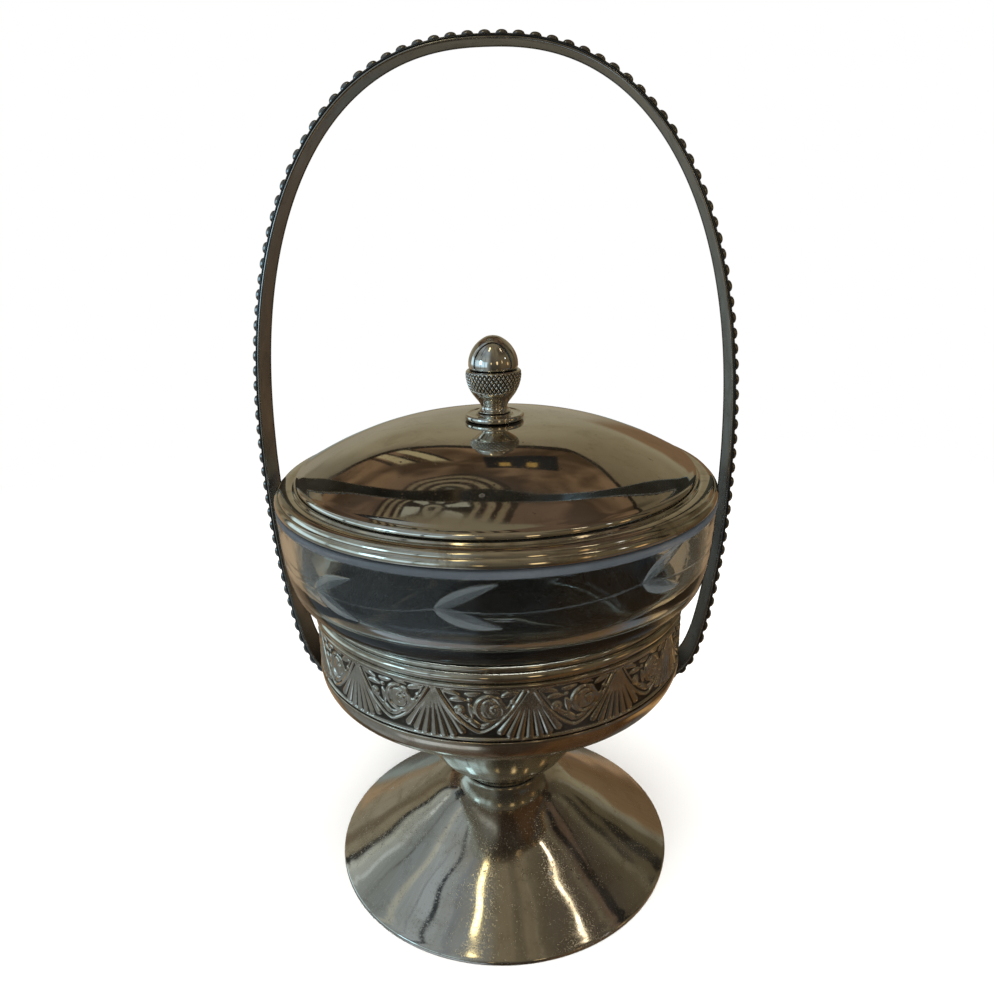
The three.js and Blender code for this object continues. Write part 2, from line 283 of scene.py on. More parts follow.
# --------------------------------------------------------------- materials
class Graph:
    def __init__(self, name):
        self.mat = bpy.data.materials.new(name)
        self.mat.use_nodes = True
        self.t = self.mat.node_tree
        self.t.nodes.clear()

    def node(self, kind, ins=None, **props):
        nd = self.t.nodes.new(kind)
        for k, v in props.items():
            setattr(nd, k, v)
        for k, v in (ins or {}).items():
            if isinstance(v, bpy.types.NodeSocket):
                self.t.links.new(v, nd.inputs[k])
            else:
                nd.inputs[k].default_value = v
        return nd

    def math(self, op, a, b=0.0, c=0.0, clamp=False):
        return self.node('ShaderNodeMath', {0: a, 1: b, 2: c}, operation=op, use_clamp=clamp).outputs[0]

    def vmath(self, op, a, b=(0, 0, 0)):
        nd = self.node('ShaderNodeVectorMath', {0: a, 1: b}, operation=op)
        return nd.outputs['Value'] if op in ('LENGTH', 'DOT_PRODUCT', 'DISTANCE') else nd.outputs[0]

    def mix(self, f, a, b, mode='MIX'):
        nd = self.node('ShaderNodeMix', {0: f, 6: a, 7: b}, data_type='RGBA', blend_type=mode)
        return nd.outputs[2]

    def fmix(self, f, a, b):
        return self.node('ShaderNodeMix', {0: f, 2: a, 3: b}, data_type='FLOAT').outputs[0]

    def ramp(self, f, lo, hi, a=0.0, b=1.0, smooth=True):
        return self.node('ShaderNodeMapRange', {0: f, 1: lo, 2: hi, 3: a, 4: b},
                         interpolation_type='SMOOTHSTEP' if smooth else 'LINEAR').outputs[0]

    def noise(self, vec, scale, detail=3.0, rough=0.55, dist=0.0):
        nd = self.node('ShaderNodeTexNoise', {'Vector': vec, 'Scale': scale, 'Detail': detail,
                                              'Roughness': rough, 'Distortion': dist})
        return nd.outputs['Fac' if 'Fac' in nd.outputs else 0]

    def colours(self, f, stops):
        nd = self.node('ShaderNodeValToRGB', {0: f})
        r = nd.color_ramp
        r.interpolation = 'EASE'
        r.elements[0].position, r.elements[0].color = stops[0][0], (*stops[0][1], 1)
        r.elements[1].position, r.elements[1].color = stops[-1][0], (*stops[-1][1], 1)
        for pos, col in stops[1:-1]:
            e = r.elements.new(pos)
            e.color = (*col, 1)
        return nd.outputs[0]


def aged_metal(name, clean, warm, dark, rough=(0.05, 0.14), turned='wall', line=1.0, mottle=1.0, bloom=0.5,
               pits=0.5, spots=0.0, scratch=1.0, crevice=0.0, relief=None, worn=None, seed=0.0, ao_mm=2.5, radial=0.0, specks=0.5):
    """Old silver plate: bright metal, warm and dark tarnish, turning lines,
    hairline scratches, pits, dull specks, dried spots, darker colour in hollows that a mesh attribute marks,
    and painted shade where the shape closes in (ambient occlusion darkens the colour there and where
    parts meet, partly standing for tarnish in the hollows)."""
    g = Graph(name)
    P = g.node('ShaderNodeTexCoord').outputs['Object']
    sep = g.node('ShaderNodeSeparateXYZ', {0: P})
    x, y, z = sep.outputs
    r = g.math('SQRT', g.math('ADD', g.math('MULTIPLY', x, x), g.math('MULTIPLY', y, y)))
    off = (seed * 1.7, seed * 0.9, seed * 2.3)
    Q = g.vmath('ADD', P, off)

    # large, middle and small variation
    big = g.noise(Q, 34.0, 3.0, 0.55, 0.6)
    mid = g.noise(Q, 130.0, 4.0, 0.6, 0.8)
    fine = g.noise(Q, 900.0, 3.0, 0.65)

    # turning or polishing lines
    if turned == 'wall':
        lv = g.node('ShaderNodeCombineXYZ', {0: g.math('MULTIPLY', x, 9.0), 1: g.math('MULTIPLY', y, 9.0),
                                             2: g.math('MULTIPLY', z, 2600.0)}).outputs[0]
    elif turned == 'disc':
        lv = g.node('ShaderNodeCombineXYZ', {0: g.math('MULTIPLY', x, 9.0), 1: g.math('MULTIPLY', y, 9.0),
                                             2: g.math('MULTIPLY', r, 2100.0)}).outputs[0]
    else:
        lv = g.node('ShaderNodeCombineXYZ', {0: g.math('MULTIPLY', x, 300.0), 1: g.math('MULTIPLY', y, 2600.0),
                                             2: g.math('MULTIPLY', z, 300.0)}).outputs[0]
    lines = g.noise(lv, 1.0, 3.0, 0.7)

    # hairline scratches in three directions
    hair = None
    for k, (ax, ang) in enumerate((((0.3, 0.9, 0.2), 0.7), ((0.8, -0.2, 0.5), 2.1), ((-0.4, 0.5, 0.8), 3.7))):
        rot = g.node('ShaderNodeVectorRotate', {'Vector': Q, 'Axis': ax, 'Angle': ang + seed},
                     rotation_type='AXIS_ANGLE').outputs[0]
        st = g.vmath('MULTIPLY', rot, (28.0, 1500.0, 1500.0))
        n = g.noise(st, 1.0, 1.0, 0.5, 0.15)
        h = g.ramp(n, 0.72, 0.80)
        hair = h if hair is None else g.math('MAXIMUM', hair, h)

    # dark pits, and fine dull specks that scatter a lamp's glare
    pit = g.ramp(g.noise(Q, 620.0, 2.0, 0.5), 0.69, 0.76)
    pit = g.math('MULTIPLY', pit, g.ramp(big, 0.42, 0.62))
    speck = g.math('MULTIPLY', g.ramp(g.noise(Q, 1500.0, 2.0, 0.6), 0.56, 0.66), g.ramp(mid, 0.38, 0.62, 0.25, 1.0))

    # tarnish weight
    tar = g.math('ADD', g.math('MULTIPLY', big, 0.62), g.math('MULTIPLY', mid, 0.38))
    tar = g.ramp(tar, 0.40, 0.62)
    deep = g.ramp(g.math('ADD', g.math('MULTIPLY', mid, 0.7), g.math('MULTIPLY', fine, 0.3)), 0.50, 0.70)
    if radial > 0:
        inv = g.math('DIVIDE', 11.0, g.math('MAXIMUM', r, 0.004))
        rv = g.node('ShaderNodeCombineXYZ', {0: g.math('MULTIPLY', x, inv), 1: g.math('MULTIPLY', y, inv),
                                             2: g.math('MULTIPLY', r, 30.0)}).outputs[0]
        runs = g.ramp(g.noise(rv, 1.0, 4.0, 0.65, 0.3), 0.44, 0.66)
        tar = g.math('MAXIMUM', g.math('MULTIPLY', tar, 1.0 - 0.4 * radial), g.math('MULTIPLY', runs, radial))

    col = g.mix(g.math('MULTIPLY', tar, 0.75 * mottle, clamp=True), (*clean, 1), (*warm, 1))
    col = g.mix(g.math('MULTIPLY', deep, 0.38 * mottle, clamp=True), col, (*dark, 1))
    col = g.mix(g.math('MULTIPLY', pit, 0.85 * pits, clamp=True), col, (*[c * 0.35 for c in dark], 1))
    rgh = g.ramp(g.math('ADD', g.math('MULTIPLY', mid, 0.5), g.math('MULTIPLY', big, 0.5)), 0.36, 0.66, rough[0], rough[1])
    rgh = g.math('ADD', rgh, g.math('MULTIPLY', hair, 0.10 * scratch))
    rgh = g.math('ADD', rgh, g.math('MULTIPLY', pit, 0.25 * pits))
    rgh = g.math('ADD', rgh, g.math('MULTIPLY', speck, 0.30 * specks))
    rgh = g.math('ADD', rgh, g.math('MULTIPLY', g.ramp(lines, 0.3, 0.7), 0.025 * line))

    if spots > 0:
        v = g.node('ShaderNodeTexVoronoi', {'Vector': Q, 'Scale': 95.0, 'Randomness': 1.0}, feature='F1')
        pick = g.ramp(g.node('ShaderNodeSeparateColor', {0: v.outputs['Color']}).outputs[0], 0.76, 0.78)
        size = g.node('ShaderNodeSeparateColor', {0: v.outputs['Color']}).outputs[1]
        rad = g.math('MULTIPLY_ADD', size, 0.06, 0.05)
        d = g.math('DIVIDE', v.outputs['Distance'], rad)
        disc = g.ramp(d, 1.0, 0.70)
        rim = g.math('MULTIPLY', g.ramp(d, 0.45, 0.85), disc)
        mark = g.math('MULTIPLY', g.math('ADD', g.math('MULTIPLY', disc, 0.5), g.math('MULTIPLY', rim, 0.5)), pick)
        rgh = g.math('ADD', rgh, g.math('MULTIPLY', mark, 0.30 * spots))

    if relief is not None:
        low = g.node('ShaderNodeAttribute', attribute_name=relief, attribute_type='GEOMETRY').outputs['Fac']
        edge = g.math('ADD', low, g.math('MULTIPLY', g.math('SUBTRACT', mid, 0.5), 0.4))
        w = g.ramp(edge, 0.24, 0.72)
        col = g.mix(g.math('MULTIPLY', w, 0.94), col, (*[c * 0.30 for c in dark], 1))
        rgh = g.math('ADD', rgh, g.math('MULTIPLY', w, 0.25))
    if crevice > 0:
        # painted shade: the colour darkens where ambient occlusion finds nearby surfaces, in hollows and where parts
        # meet; partly it stands for tarnish in the hollows
        ao = g.node('ShaderNodeAmbientOcclusion', {'Distance': ao_mm * MM}, samples=8)
        crevice_tarnish_and_shade = g.ramp(ao.outputs['AO'], 0.80, 0.35)
        crevice_tarnish_and_shade = g.math('MULTIPLY', crevice_tarnish_and_shade, g.ramp(mid, 0.2, 0.6, 0.6, 1.0))
        col = g.mix(g.math('MULTIPLY', crevice_tarnish_and_shade, crevice, clamp=True), col, (*[c * 0.3 for c in dark], 1))
        rgh = g.math('ADD', rgh, g.math('MULTIPLY', crevice_tarnish_and_shade, 0.25 * crevice))
    if worn is not None:
        # worn bright on the high places, partly real wear and partly painted highlight: a lighter base colour that
        # stands in for a bright reflected line
        rub_sheen = g.node('ShaderNodeAttribute', attribute_name=worn, attribute_type='GEOMETRY').outputs['Fac']
        rub_sheen = g.math('MULTIPLY', rub_sheen, g.ramp(mid, 0.30, 0.60, 0.55, 1.0))
        col = g.mix(rub_sheen, col, (0.56, 0.56, 0.54, 1))
        rgh = g.math('SUBTRACT', rgh, g.math('MULTIPLY', rub_sheen, 0.06))
    rgh = g.math('MINIMUM', g.math('MAXIMUM', rgh, 0.02), 0.75)

    # fine surface: lines, orange peel, pits, hairlines
    h = g.math('MULTIPLY', lines, 0.30 * line)
    h = g.math('ADD', h, g.math('MULTIPLY', fine, 0.22))
    h = g.math('ADD', h, g.math('MULTIPLY', hair, -0.45 * scratch))
    h = g.math('ADD', h, g.math('MULTIPLY', pit, -1.4 * pits))
    h = g.math('ADD', h, g.math('MULTIPLY', mid, 0.9))
    bump = g.node('ShaderNodeBump', {'Strength': 0.10, 'Distance': 0.00006, 'Height': h})
    bs = g.node('ShaderNodeBsdfPrincipled', {'Base Color': col, 'Roughness': rgh, 'Metallic': 1.0,
                                             'Normal': bump.outputs[0]})
    # a thin dull film of old polish and dried water over the metal
    film = g.math('MULTIPLY', g.ramp(big, 0.40, 0.66), 0.05 * bloom)
    if spots > 0:
        film = g.math('MAXIMUM', film, g.math('MULTIPLY', mark, 0.30 * spots))
    haze = g.node('ShaderNodeBsdfDiffuse', {'Color': (0.55, 0.54, 0.50, 1), 'Roughness': 1.0, 'Normal': bump.outputs[0]})
    mx = g.node('ShaderNodeMixShader', {0: film})
    g.t.links.new(bs.outputs[0], mx.inputs[1])
    g.t.links.new(haze.outputs[0], mx.inputs[2])
    out = g.node('ShaderNodeOutputMaterial')
    g.t.links.new(mx.outputs[0], out.inputs[0])
    return g.mat


def cut_glass(name):
    """Clear pressed glass, faintly blue, with matt wheel-cut leaves where the mesh
    carries 'cut', painted shading that makes one half of each leaf brighter, and a matt band at the lip."""
    g = Graph(name)
    P = g.node('ShaderNodeTexCoord').outputs['Object']
    n1 = g.noise(P, 60.0, 2.0, 0.5)
    n2 = g.noise(P, 700.0, 2.0, 0.6)
    st = g.vmath('MULTIPLY', P, (900.0, 900.0, 2200.0))
    grind = g.noise(st, 1.0, 2.0, 0.6)
    smear = g.ramp(g.noise(P, 95.0, 4.0, 0.65, 1.2), 0.52, 0.72)
    rgh = g.math('MULTIPLY_ADD', smear, 0.04, 0.01)
    wave = g.math('ADD', g.math('MULTIPLY', n1, 1.0), g.math('MULTIPLY', n2, 0.02))
    bump = g.node('ShaderNodeBump', {'Strength': 0.25, 'Distance': 0.0006, 'Height': wave})
    tint = g.mix(smear, (0.88, 0.945, 0.975, 1), (0.84, 0.90, 0.93, 1))
    clear = g.node('ShaderNodeBsdfPrincipled', {'Base Color': tint, 'Roughness': rgh, 'Metallic': 0.0, 'IOR': 1.5,
                                                'Transmission Weight': 1.0, 'Normal': bump.outputs[0]})
    cut = g.node('ShaderNodeAttribute', attribute_name='cut', attribute_type='GEOMETRY').outputs['Fac']
    tone = g.node('ShaderNodeAttribute', attribute_name='tone', attribute_type='GEOMETRY').outputs['Fac']
    frost = g.node('ShaderNodeAttribute', attribute_name='frost', attribute_type='GEOMETRY').outputs['Fac']
    gb = g.node('ShaderNodeBump', {'Strength': 0.25, 'Distance': 0.00005, 'Height': grind})
    # painted shading: 'tone' gives one half of each leaf a lighter colour, as if light fell on that facet
    leafc = g.mix(tone, (0.075, 0.095, 0.105, 1), (0.155, 0.185, 0.20, 1))
    leafc = g.mix(g.math('MULTIPLY', g.ramp(grind, 0.35, 0.65), 0.35), leafc, (0.07, 0.09, 0.10, 1))
    lipc = g.mix(g.ramp(n1, 0.35, 0.65), (0.082, 0.100, 0.120, 1), (0.108, 0.127, 0.150, 1))
    lipc = g.mix(g.math('MULTIPLY', g.ramp(n2, 0.4, 0.62), 0.25), lipc, (0.068, 0.083, 0.099, 1))
    col = g.mix(g.ramp(frost, 0.3, 0.7), leafc, lipc)
    matt = g.node('ShaderNodeBsdfPrincipled', {'Base Color': col, 'Roughness': 0.6, 'IOR': 1.5,
                                               'Transmission Weight': 0.12, 'Normal': gb.outputs[0]})
    # painted shading: the lighter half of each leaf also gets more of the matt layer
    w = g.math('MULTIPLY', g.ramp(cut, 0.10, 0.42), g.fmix(tone, 0.42, 0.66))
    film = g.math('MULTIPLY_ADD', smear, 0.04, 0.025)
    w = g.math('MAXIMUM', g.math('MAXIMUM', w, g.math('MULTIPLY', g.ramp(frost, 0.1, 0.9), 0.80)), film)
    mx = g.node('ShaderNodeMixShader', {0: w})
    g.t.links.new(clear.outputs[0], mx.inputs[1])
    g.t.links.new(matt.outputs[0], mx.inputs[2])
    out = g.node('ShaderNodeOutputMaterial')
    g.t.links.new(mx.outputs[0], out.inputs[0])
    return g.mat


DARK = (0.24, 0.195, 0.14)
m_foot = aged_metal("aged_silver_foot", (0.68, 0.665, 0.61), (0.50, 0.455, 0.37), (0.27, 0.23, 0.175),
                    rough=(0.045, 0.105), turned='disc', line=0.7, mottle=0.9, pits=0.9, spots=1.7, scratch=1.4, crevice=0.5,
                    seed=1.0, radial=0.55, specks=0.8, bloom=0.6)
m_collar = aged_metal("aged_silver_collar", (0.68, 0.66, 0.60), (0.50, 0.45, 0.35), DARK,
                      rough=(0.09, 0.17), turned='wall', pits=0.3, spots=0.2, crevice=0.5, seed=2.0, specks=0.1, bloom=0.1)
m_cup = aged_metal("aged_silver_cup", (0.57, 0.50, 0.41), (0.42, 0.325, 0.225), (0.19, 0.13, 0.085),
                   rough=(0.05, 0.15), turned='wall', pits=0.6, crevice=0.85, seed=3.0, specks=0.2, bloom=0.3)
m_band = aged_metal("embossed_silver", (0.60, 0.57, 0.505), (0.44, 0.38, 0.285), (0.14, 0.11, 0.080),
                    rough=(0.12, 0.24), turned='wall', line=0.2, pits=0.3, scratch=0.4, crevice=0.3, relief='low',
                    ao_mm=0.9, seed=4.0, specks=0.3)
m_rim = aged_metal("moulded_silver", (0.62, 0.585, 0.50), (0.44, 0.37, 0.265), (0.17, 0.13, 0.09),
                   rough=(0.045, 0.12), turned='wall', pits=0.3, crevice=0.95, ao_mm=1.4, seed=5.0, specks=0.15, bloom=0.2)
m_hoop = aged_metal("dark_silver_strip", (0.108, 0.124, 0.138), (0.072, 0.076, 0.076), (0.030, 0.030, 0.030),
                    rough=(0.14, 0.26), turned='strip', pits=0.5, scratch=1.0, crevice=0.6, ao_mm=1.2, seed=6.0, bloom=0.05, worn='rubbed_sheen')
m_bead = aged_metal("dark_silver_beads", (0.22, 0.235, 0.245), (0.13, 0.12, 0.105), (0.040, 0.036, 0.031),
                    rough=(0.07, 0.16), turned='strip', line=0.3, pits=0.3, crevice=0.85, ao_mm=1.2, seed=7.0, bloom=0.05, worn='rubbed_sheen')
m_lid = aged_metal("mirror_silver_lid", (0.70, 0.67, 0.60), (0.57, 0.52, 0.43), (0.32, 0.275, 0.21),
                   rough=(0.022, 0.06), turned='disc', line=0.35, mottle=0.7, pits=0.7, spots=0.35, scratch=0.8, crevice=0.4,
                   seed=8.0, specks=0.2, bloom=0.2)
m_ring = aged_metal("moulded_silver_lid", (0.70, 0.675, 0.595), (0.52, 0.46, 0.35), (0.20, 0.16, 0.11),
                    rough=(0.04, 0.11), turned='disc', pits=0.25, crevice=0.9, ao_mm=1.2, seed=9.0, specks=0.15, bloom=0.2)
m_bezel = aged_metal("grey_silver_flange", (0.50, 0.535, 0.56), (0.40, 0.42, 0.42), (0.22, 0.22, 0.21),
                     rough=(0.18, 0.30), turned='wall', pits=0.4, crevice=0.4, seed=10.0)
m_finial = aged_metal("bright_silver_finial", (0.76, 0.76, 0.73), (0.60, 0.55, 0.46), (0.17, 0.14, 0.105),
                      rough=(0.035, 0.10), turned='wall', line=0.6, pits=0.2, crevice=0.9, ao_mm=0.9, seed=11.0, specks=0.2,
                      bloom=0.2)
m_hatched = aged_metal("bright_silver_hatched", (0.80, 0.80, 0.77), (0.66, 0.61, 0.52), (0.17, 0.14, 0.105),
                      rough=(0.035, 0.10), turned='wall', line=0.6, pits=0.2, crevice=0.9, ao_mm=0.9, seed=11.0, specks=0.2,
                      bloom=0.2, relief='groove')
m_brass = aged_metal("turned_brass", (0.66, 0.55, 0.30), (0.48, 0.36, 0.17), (0.20, 0.14, 0.07),
                     rough=(0.22, 0.40), turned='wall', pits=0.5, crevice=0.8, seed=12.0)
m_glass = cut_glass("cut_glass")


# ------------------------------------------------------------ foot and stem
def foot_warp(R, Z, TH):
    w = waves(11, TH, R, 0.16, 2, 12, (11.0, 38.0)) * np.clip((R - 17) / 8, 0, 1) * np.clip((52.2 - R) / 2.0, 0, 1)
    w = w * np.clip((Z - 1.3) / 1.5, 0, 1)
    return R, Z + w


foot = rounded([(50, 0, .2), (52.9, 0, .35), (52.9, 1.15, .4), (51.6, 2.0, .3), (42.6, 8.3, 's'), (33.6, 14.6, 's'),
                (25.6, 20.1, 's'), (19.6, 24.2, 's'), (17.2, 25.55, 's'), (15.2, 26.4, 's'), (13.8, 26.85, 's'), (12.9, 27.05, 's'), (12.3, 27.1, .1), (3.3, 27.1, .2), (3.3, 26.1, .2),
                (11.6, 26.1, .2), (13.4, 25.3, 's'), (17.4, 24.0, 's'), (24.9, 18.9, 's'), (32.8, 13.4, 's'), (41.5, 7.3, 's'),
                (50, 1.3, .2)], step=0.8)
place("foot_skin", build_mesh("foot_skin", *lathe(foot, 288, foot_warp)), m_foot, "stand", "foot")

collar = rounded([(3.3, 27.4, .2), (12.3, 27.4, .12), (12.36, 27.9, 's'), (12.75, 28.7, 's'), (13.7, 29.7, 's'), (15.5, 31.1, 's'), (18.4, 33.5, 's'), (21.4, 36.7, 's'),
                  (24.2, 41.7, 's'), (26.4, 50.0, 's'), (28, 60.7, .2), (26.9, 60.7, .2), (25.3, 50.3, 's'), (23.2, 42.1, 's'),
                  (20.5, 37.1, 's'), (17.4, 33.6, 's'), (14.2, 30.7, 's'), (12.0, 28.4, .3), (3.3, 28.4, .2)], step=0.6)
place("collar_skin", build_mesh("collar_skin", *lathe(collar, 224, lambda R, Z, TH: (R + waves(12, TH, Z, 0.05, 2, 7) * np.clip((Z - 30.5) / 3, 0, 1), Z))),
      m_collar, "stand", "stem_collar")


# ---------------------------------------------------------------- the cup
def cup_warp(R, Z, TH):
    w = waves(13, TH, Z + R * 0.4, 0.07, 2, 9, (10.0, 30.0)) * np.clip((R - 30) / 10, 0, 1) * np.clip((73.0 - Z) / 2.0, 0, 1)
    return R + w, Z


cup = rounded([(3.3, 61, .2), (22, 61.05, 's'), (35, 61.25, 's'), (41.5, 62.1, 's'), (46.4, 63.5, 's'), (50, 65.35, 's'),
               (52.4, 67.7, 's'), (53.65, 70.3, 's'), (54.0, 72.4, .3), (53.9, 73.2, .25), (52.6, 73.25, .12),
               (52.6, 93.1, .2), (51.6, 93.1, .2), (51.6, 72.6, 's'), (50.9, 69.4, 's'), (48.8, 66.7, 's'),
               (45.6, 64.6, 's'), (40.8, 63.2, 's'), (34.6, 62.3, 's'), (22, 62.12, 's'), (3.3, 62.1, .2)], step=0.7)
place("cup_skin", build_mesh("cup_skin", *lathe(cup, 288, cup_warp)), m_cup, "stand", "cup")

rim = rounded([(52.9, 88.6, .15), (54.05, 88.6, .25), (54.1, 89.2, .25), (53.3, 89.75, .25), (53.3, 90.0, .15), (54.15, 90.45, 's'),
               (54.6, 91.55, 's'), (54.15, 92.5, 's'), (53.45, 92.95, .12), (53.45, 93.2, .1), (53.95, 93.5, 's'), (54.0, 94.0, 's'),
               (53.6, 94.45, 's'), (52.9, 94.5, 's'), (52.2, 94.45, .25), (51.7, 93.95, .2), (51.7, 93.4, .12), (52.9, 93.4, .1)],
              step=0.22)
place("rim_skin", build_mesh("rim_skin", *lathe(rim, 288)), m_rim, "stand", "cup_rim_moulding")


# ------------------------------------------------------------ embossed band
REPEATS = 14
PITCH = TAU * 54.0 / REPEATS       # along the band's face
BAND_Z0, BAND_H = 73.5, 14.8
FAN_AT = math.radians(7.4)         # a fan's azimuth as the camera sees it


def seg_dist(C, V, a, b):
    ax, ay = a
    dx, dy = b[0] - ax, b[1] - ay
    L2 = dx * dx + dy * dy
    t = np.clip(((C - ax) * dx + (V - ay) * dy) / L2, 0, 1)
    return np.hypot(C - ax - t * dx, V - ay - t * dy), t


def path_dist(C, V, pts):
    best, tt = np.full(C.shape, 1e9), np.zeros(C.shape)
    n = len(pts) - 1
    for i in range(n):
        d, t = seg_dist(C, V, pts[i], pts[i + 1])
        near = d < best
        best = np.where(near, d, best)
        tt = np.where(near, (i + t) / n, tt)
    return best, tt


def dome(d, w):
    return np.sqrt(np.clip(1 - (d / w) ** 2, 0, None))


def leaf(C, V, base, tip, width, height, vein=0.35, bend=0.0):
    ax, ay = base
    dx, dy = tip[0] - ax, tip[1] - ay
    L = math.hypot(dx, dy)
    ux, uy = dx / L, dy / L
    t = ((C - ax) * ux + (V - ay) * uy) / L
    s = -(C - ax) * uy + (V - ay) * ux
    s = s - bend * 4 * t * (1 - t)
    hw = width * np.sin(np.pi * np.clip(t, 0, 1) ** 0.85) ** 0.8
    inside = (t > 0) & (t < 1)
    h = np.where(inside, dome(s, np.maximum(hw, 1e-3)), 0.0)
    return height * h * (1 - vein * np.exp(-(s / 0.16) ** 2))


def spiral(C, V, centre, radius, pitch, height, turn=0.0, groove=0.55):
    x, y = C - centre[0], V - centre[1]
    rho, phi = np.hypot(x, y), np.arctan2(y, x)
    f = rho / pitch - (phi + turn) / TAU
    d = np.abs((f - np.floor(f)) - 0.5) * 2
    g = np.exp(-((1 - d) / 0.34) ** 2)
    return height * dome(rho, radius) ** 0.6 * (1 - groove * g * np.clip(rho / (0.35 * radius), 0, 1))


def tile(nu, nv):
    c = np.arange(nu) * PITCH / nu
    v = np.linspace(0, BAND_H, nv)
    C0, V = np.meshgrid(c, v, indexing="ij")
    H = np.zeros(C0.shape)
    outline = _spline([(0.9, 14.5), (2.6, 11.4), (4.7, 8.2), (7.1, 5.5), (9.6, 3.5), (12.05, 2.45), (14.5, 3.5),
                       (17.0, 5.5), (19.4, 8.2), (21.5, 11.4), (23.3, 14.5)], 0.9).tolist()
    inner = _spline([(2.3, 13.9), (3.9, 11.4), (5.8, 8.6), (8.0, 6.3), (10.2, 4.6), (12.05, 3.75), (13.9, 4.6),
                     (16.1, 6.3), (18.3, 8.6), (20.2, 11.4), (21.8, 13.9)], 0.9).tolist()
    for shift in (-PITCH, 0.0, PITCH):
        C = C0 - shift
        parts = []
        # fan of ribs that swell to rounded ends
        for s_end, v_end in ((-7.0, 2.6), (-4.75, 1.75), (-2.35, 1.35), (0.15, 1.2), (2.65, 1.35), (5.05, 1.75), (7.35, 2.6)):
            d, t = seg_dist(C, V, (0.2 + s_end * 0.06, 13.4), (s_end, v_end))
            w = 0.26 + 0.78 * t ** 1.25
            parts.append((0.34 + 0.36 * t) * dome(d, w))
        parts.append(0.66 * dome(np.hypot((C - 0.2) / 1.15, V - 13.9), 0.75))
        # cartouche with a double line
        d, _ = path_dist(C, V, outline)
        parts.append(0.72 * dome(d, 0.46))
        d, _ = path_dist(C, V, inner)
        parts.append(0.34 * dome(d, 0.26))
        # rose: spiralling petals with a crescent on its left
        x, y = C - 14.9, V - 9.15
        rho, phi = np.hypot(x, y), np.arctan2(y, x)
        R = 3.55 * (1 + 0.07 * np.cos(5 * phi + 0.6))
        rose = (0.22 + 0.42 * dome(rho, R)) * (rho < R)
        for cx, cz, rad, a0, a1, dep in ((0.55, 0.1, 1.15, -20, 250, 0.50), (0.2, -0.5, 2.15, -110, 40, 0.45), (-0.5, 0.9, 2.0, 20, 150, 0.45),
                                         (1.2, -0.6, 2.0, 30, 120, 0.35), (-0.6, -0.9, 1.9, 190, 300, 0.40)):
            q = np.degrees(np.arctan2(y - cz, x - cx))
            mid_a = 0.5 * (a0 + a1)
            far = np.abs((q - mid_a + 180) % 360 - 180)
            on = np.clip((0.5 * (a1 - a0) - far) / 18.0 + 1, 0, 1)
            edge_d = np.hypot(x - cx, y - cz) - rad
            # each petal's lip stands up on one side of its groove
            rose = rose - dep * np.exp(-(edge_d / 0.17) ** 2) * on * (rho < R) + 0.16 * np.exp(-((edge_d + 0.42) / 0.26) ** 2) * on * (rho < R)
        rose = np.where(rho < R, np.maximum(rose, 0.62 * dome(np.hypot(x - 0.55, y - 0.1), 0.72)), rose)
        parts.append(np.maximum(rose, 0))
        # crescent: a thick bright sepal on the left side of the rose
        cr = np.hypot(x + 0.15, y - 0.1) - 3.55
        turn_a = (np.degrees(np.arctan2(y - 0.1, x + 0.15)) - 178 + 180) % 360 - 180
        a = np.clip(1 - np.abs(turn_a) / 98.0, 0, 1) ** 0.55
        parts.append(0.88 * dome(cr, 0.12 + 0.72 * a) * (a > 0.02))
        # bud, berries and stems
        parts.append(spiral(C, V, (7.0, 8.6), 1.45, 1.05, 0.74, 1.0, 0.75))
        parts.append(0.60 * dome(np.hypot(C - 9.5, V - 11.6), 0.62))
        parts.append(0.58 * dome(np.hypot(C - 20.1, V - 11.1), 0.62))
        parts.append(0.55 * dome(np.hypot(C - 18.9, V - 9.4) , 0.50))
        d, _ = path_dist(C, V, [(7.6, 7.6), (8.7, 6.6), (10.4, 5.9), (11.9, 4.7)])
        parts.append(0.42 * dome(d, 0.32))
        d, _ = path_dist(C, V, [(18.6, 8.7), (17.9, 7.0), (15.6, 5.5), (12.4, 4.6)])
        parts.append(0.42 * dome(d, 0.32))
        # leaves
        for base, tip, wd, ht, bend in (((2.6, 13.7), (7.3, 12.6), 0.75, 0.62, 0.25), ((4.5, 11.3), (8.9, 11.2), 0.80, 0.66, 0.30),
                                        ((8.2, 13.2), (12.6, 13.7), 0.70, 0.60, -0.30), ((12.9, 13.9), (17.0, 13.4), 0.62, 0.58, 0.25),
                                        ((17.3, 12.5), (21.7, 13.6), 0.85, 0.66, 0.30), ((9.3, 10.6), (10.1, 6.3), 0.82, 0.62, 0.25),
                                        ((19.7, 10.0), (17.9, 7.2), 0.60, 0.55, -0.2), ((11.9, 3.6), (8.9, 5.9), 0.68, 0.70, -0.15),
                                        ((12.2, 3.6), (15.4, 5.3), 0.68, 0.70, 0.15)):
            parts.append(leaf(C, V, base, tip, wd, ht, 0.35, bend))
        for p in parts:
            H = np.maximum(H, p)
    # plain fillets above and below
    H = np.maximum(H, 0.78 * dome(V - 0.42, 0.46))
    H = np.maximum(H, 0.60 * dome(V - 14.55, 0.40))
    return H


def blur(H, k):
    out = H.copy()
    for _ in range(k):
        out = 0.25 * (np.roll(out, 1, 0) + np.roll(out, -1, 0)) + 0.5 * out
        up = np.vstack([out.T[:1], out.T[:-1]]).T
        dn = np.vstack([out.T[1:], out.T[-1:]]).T
        out = 0.25 * (up + dn) + 0.5 * out
    return out


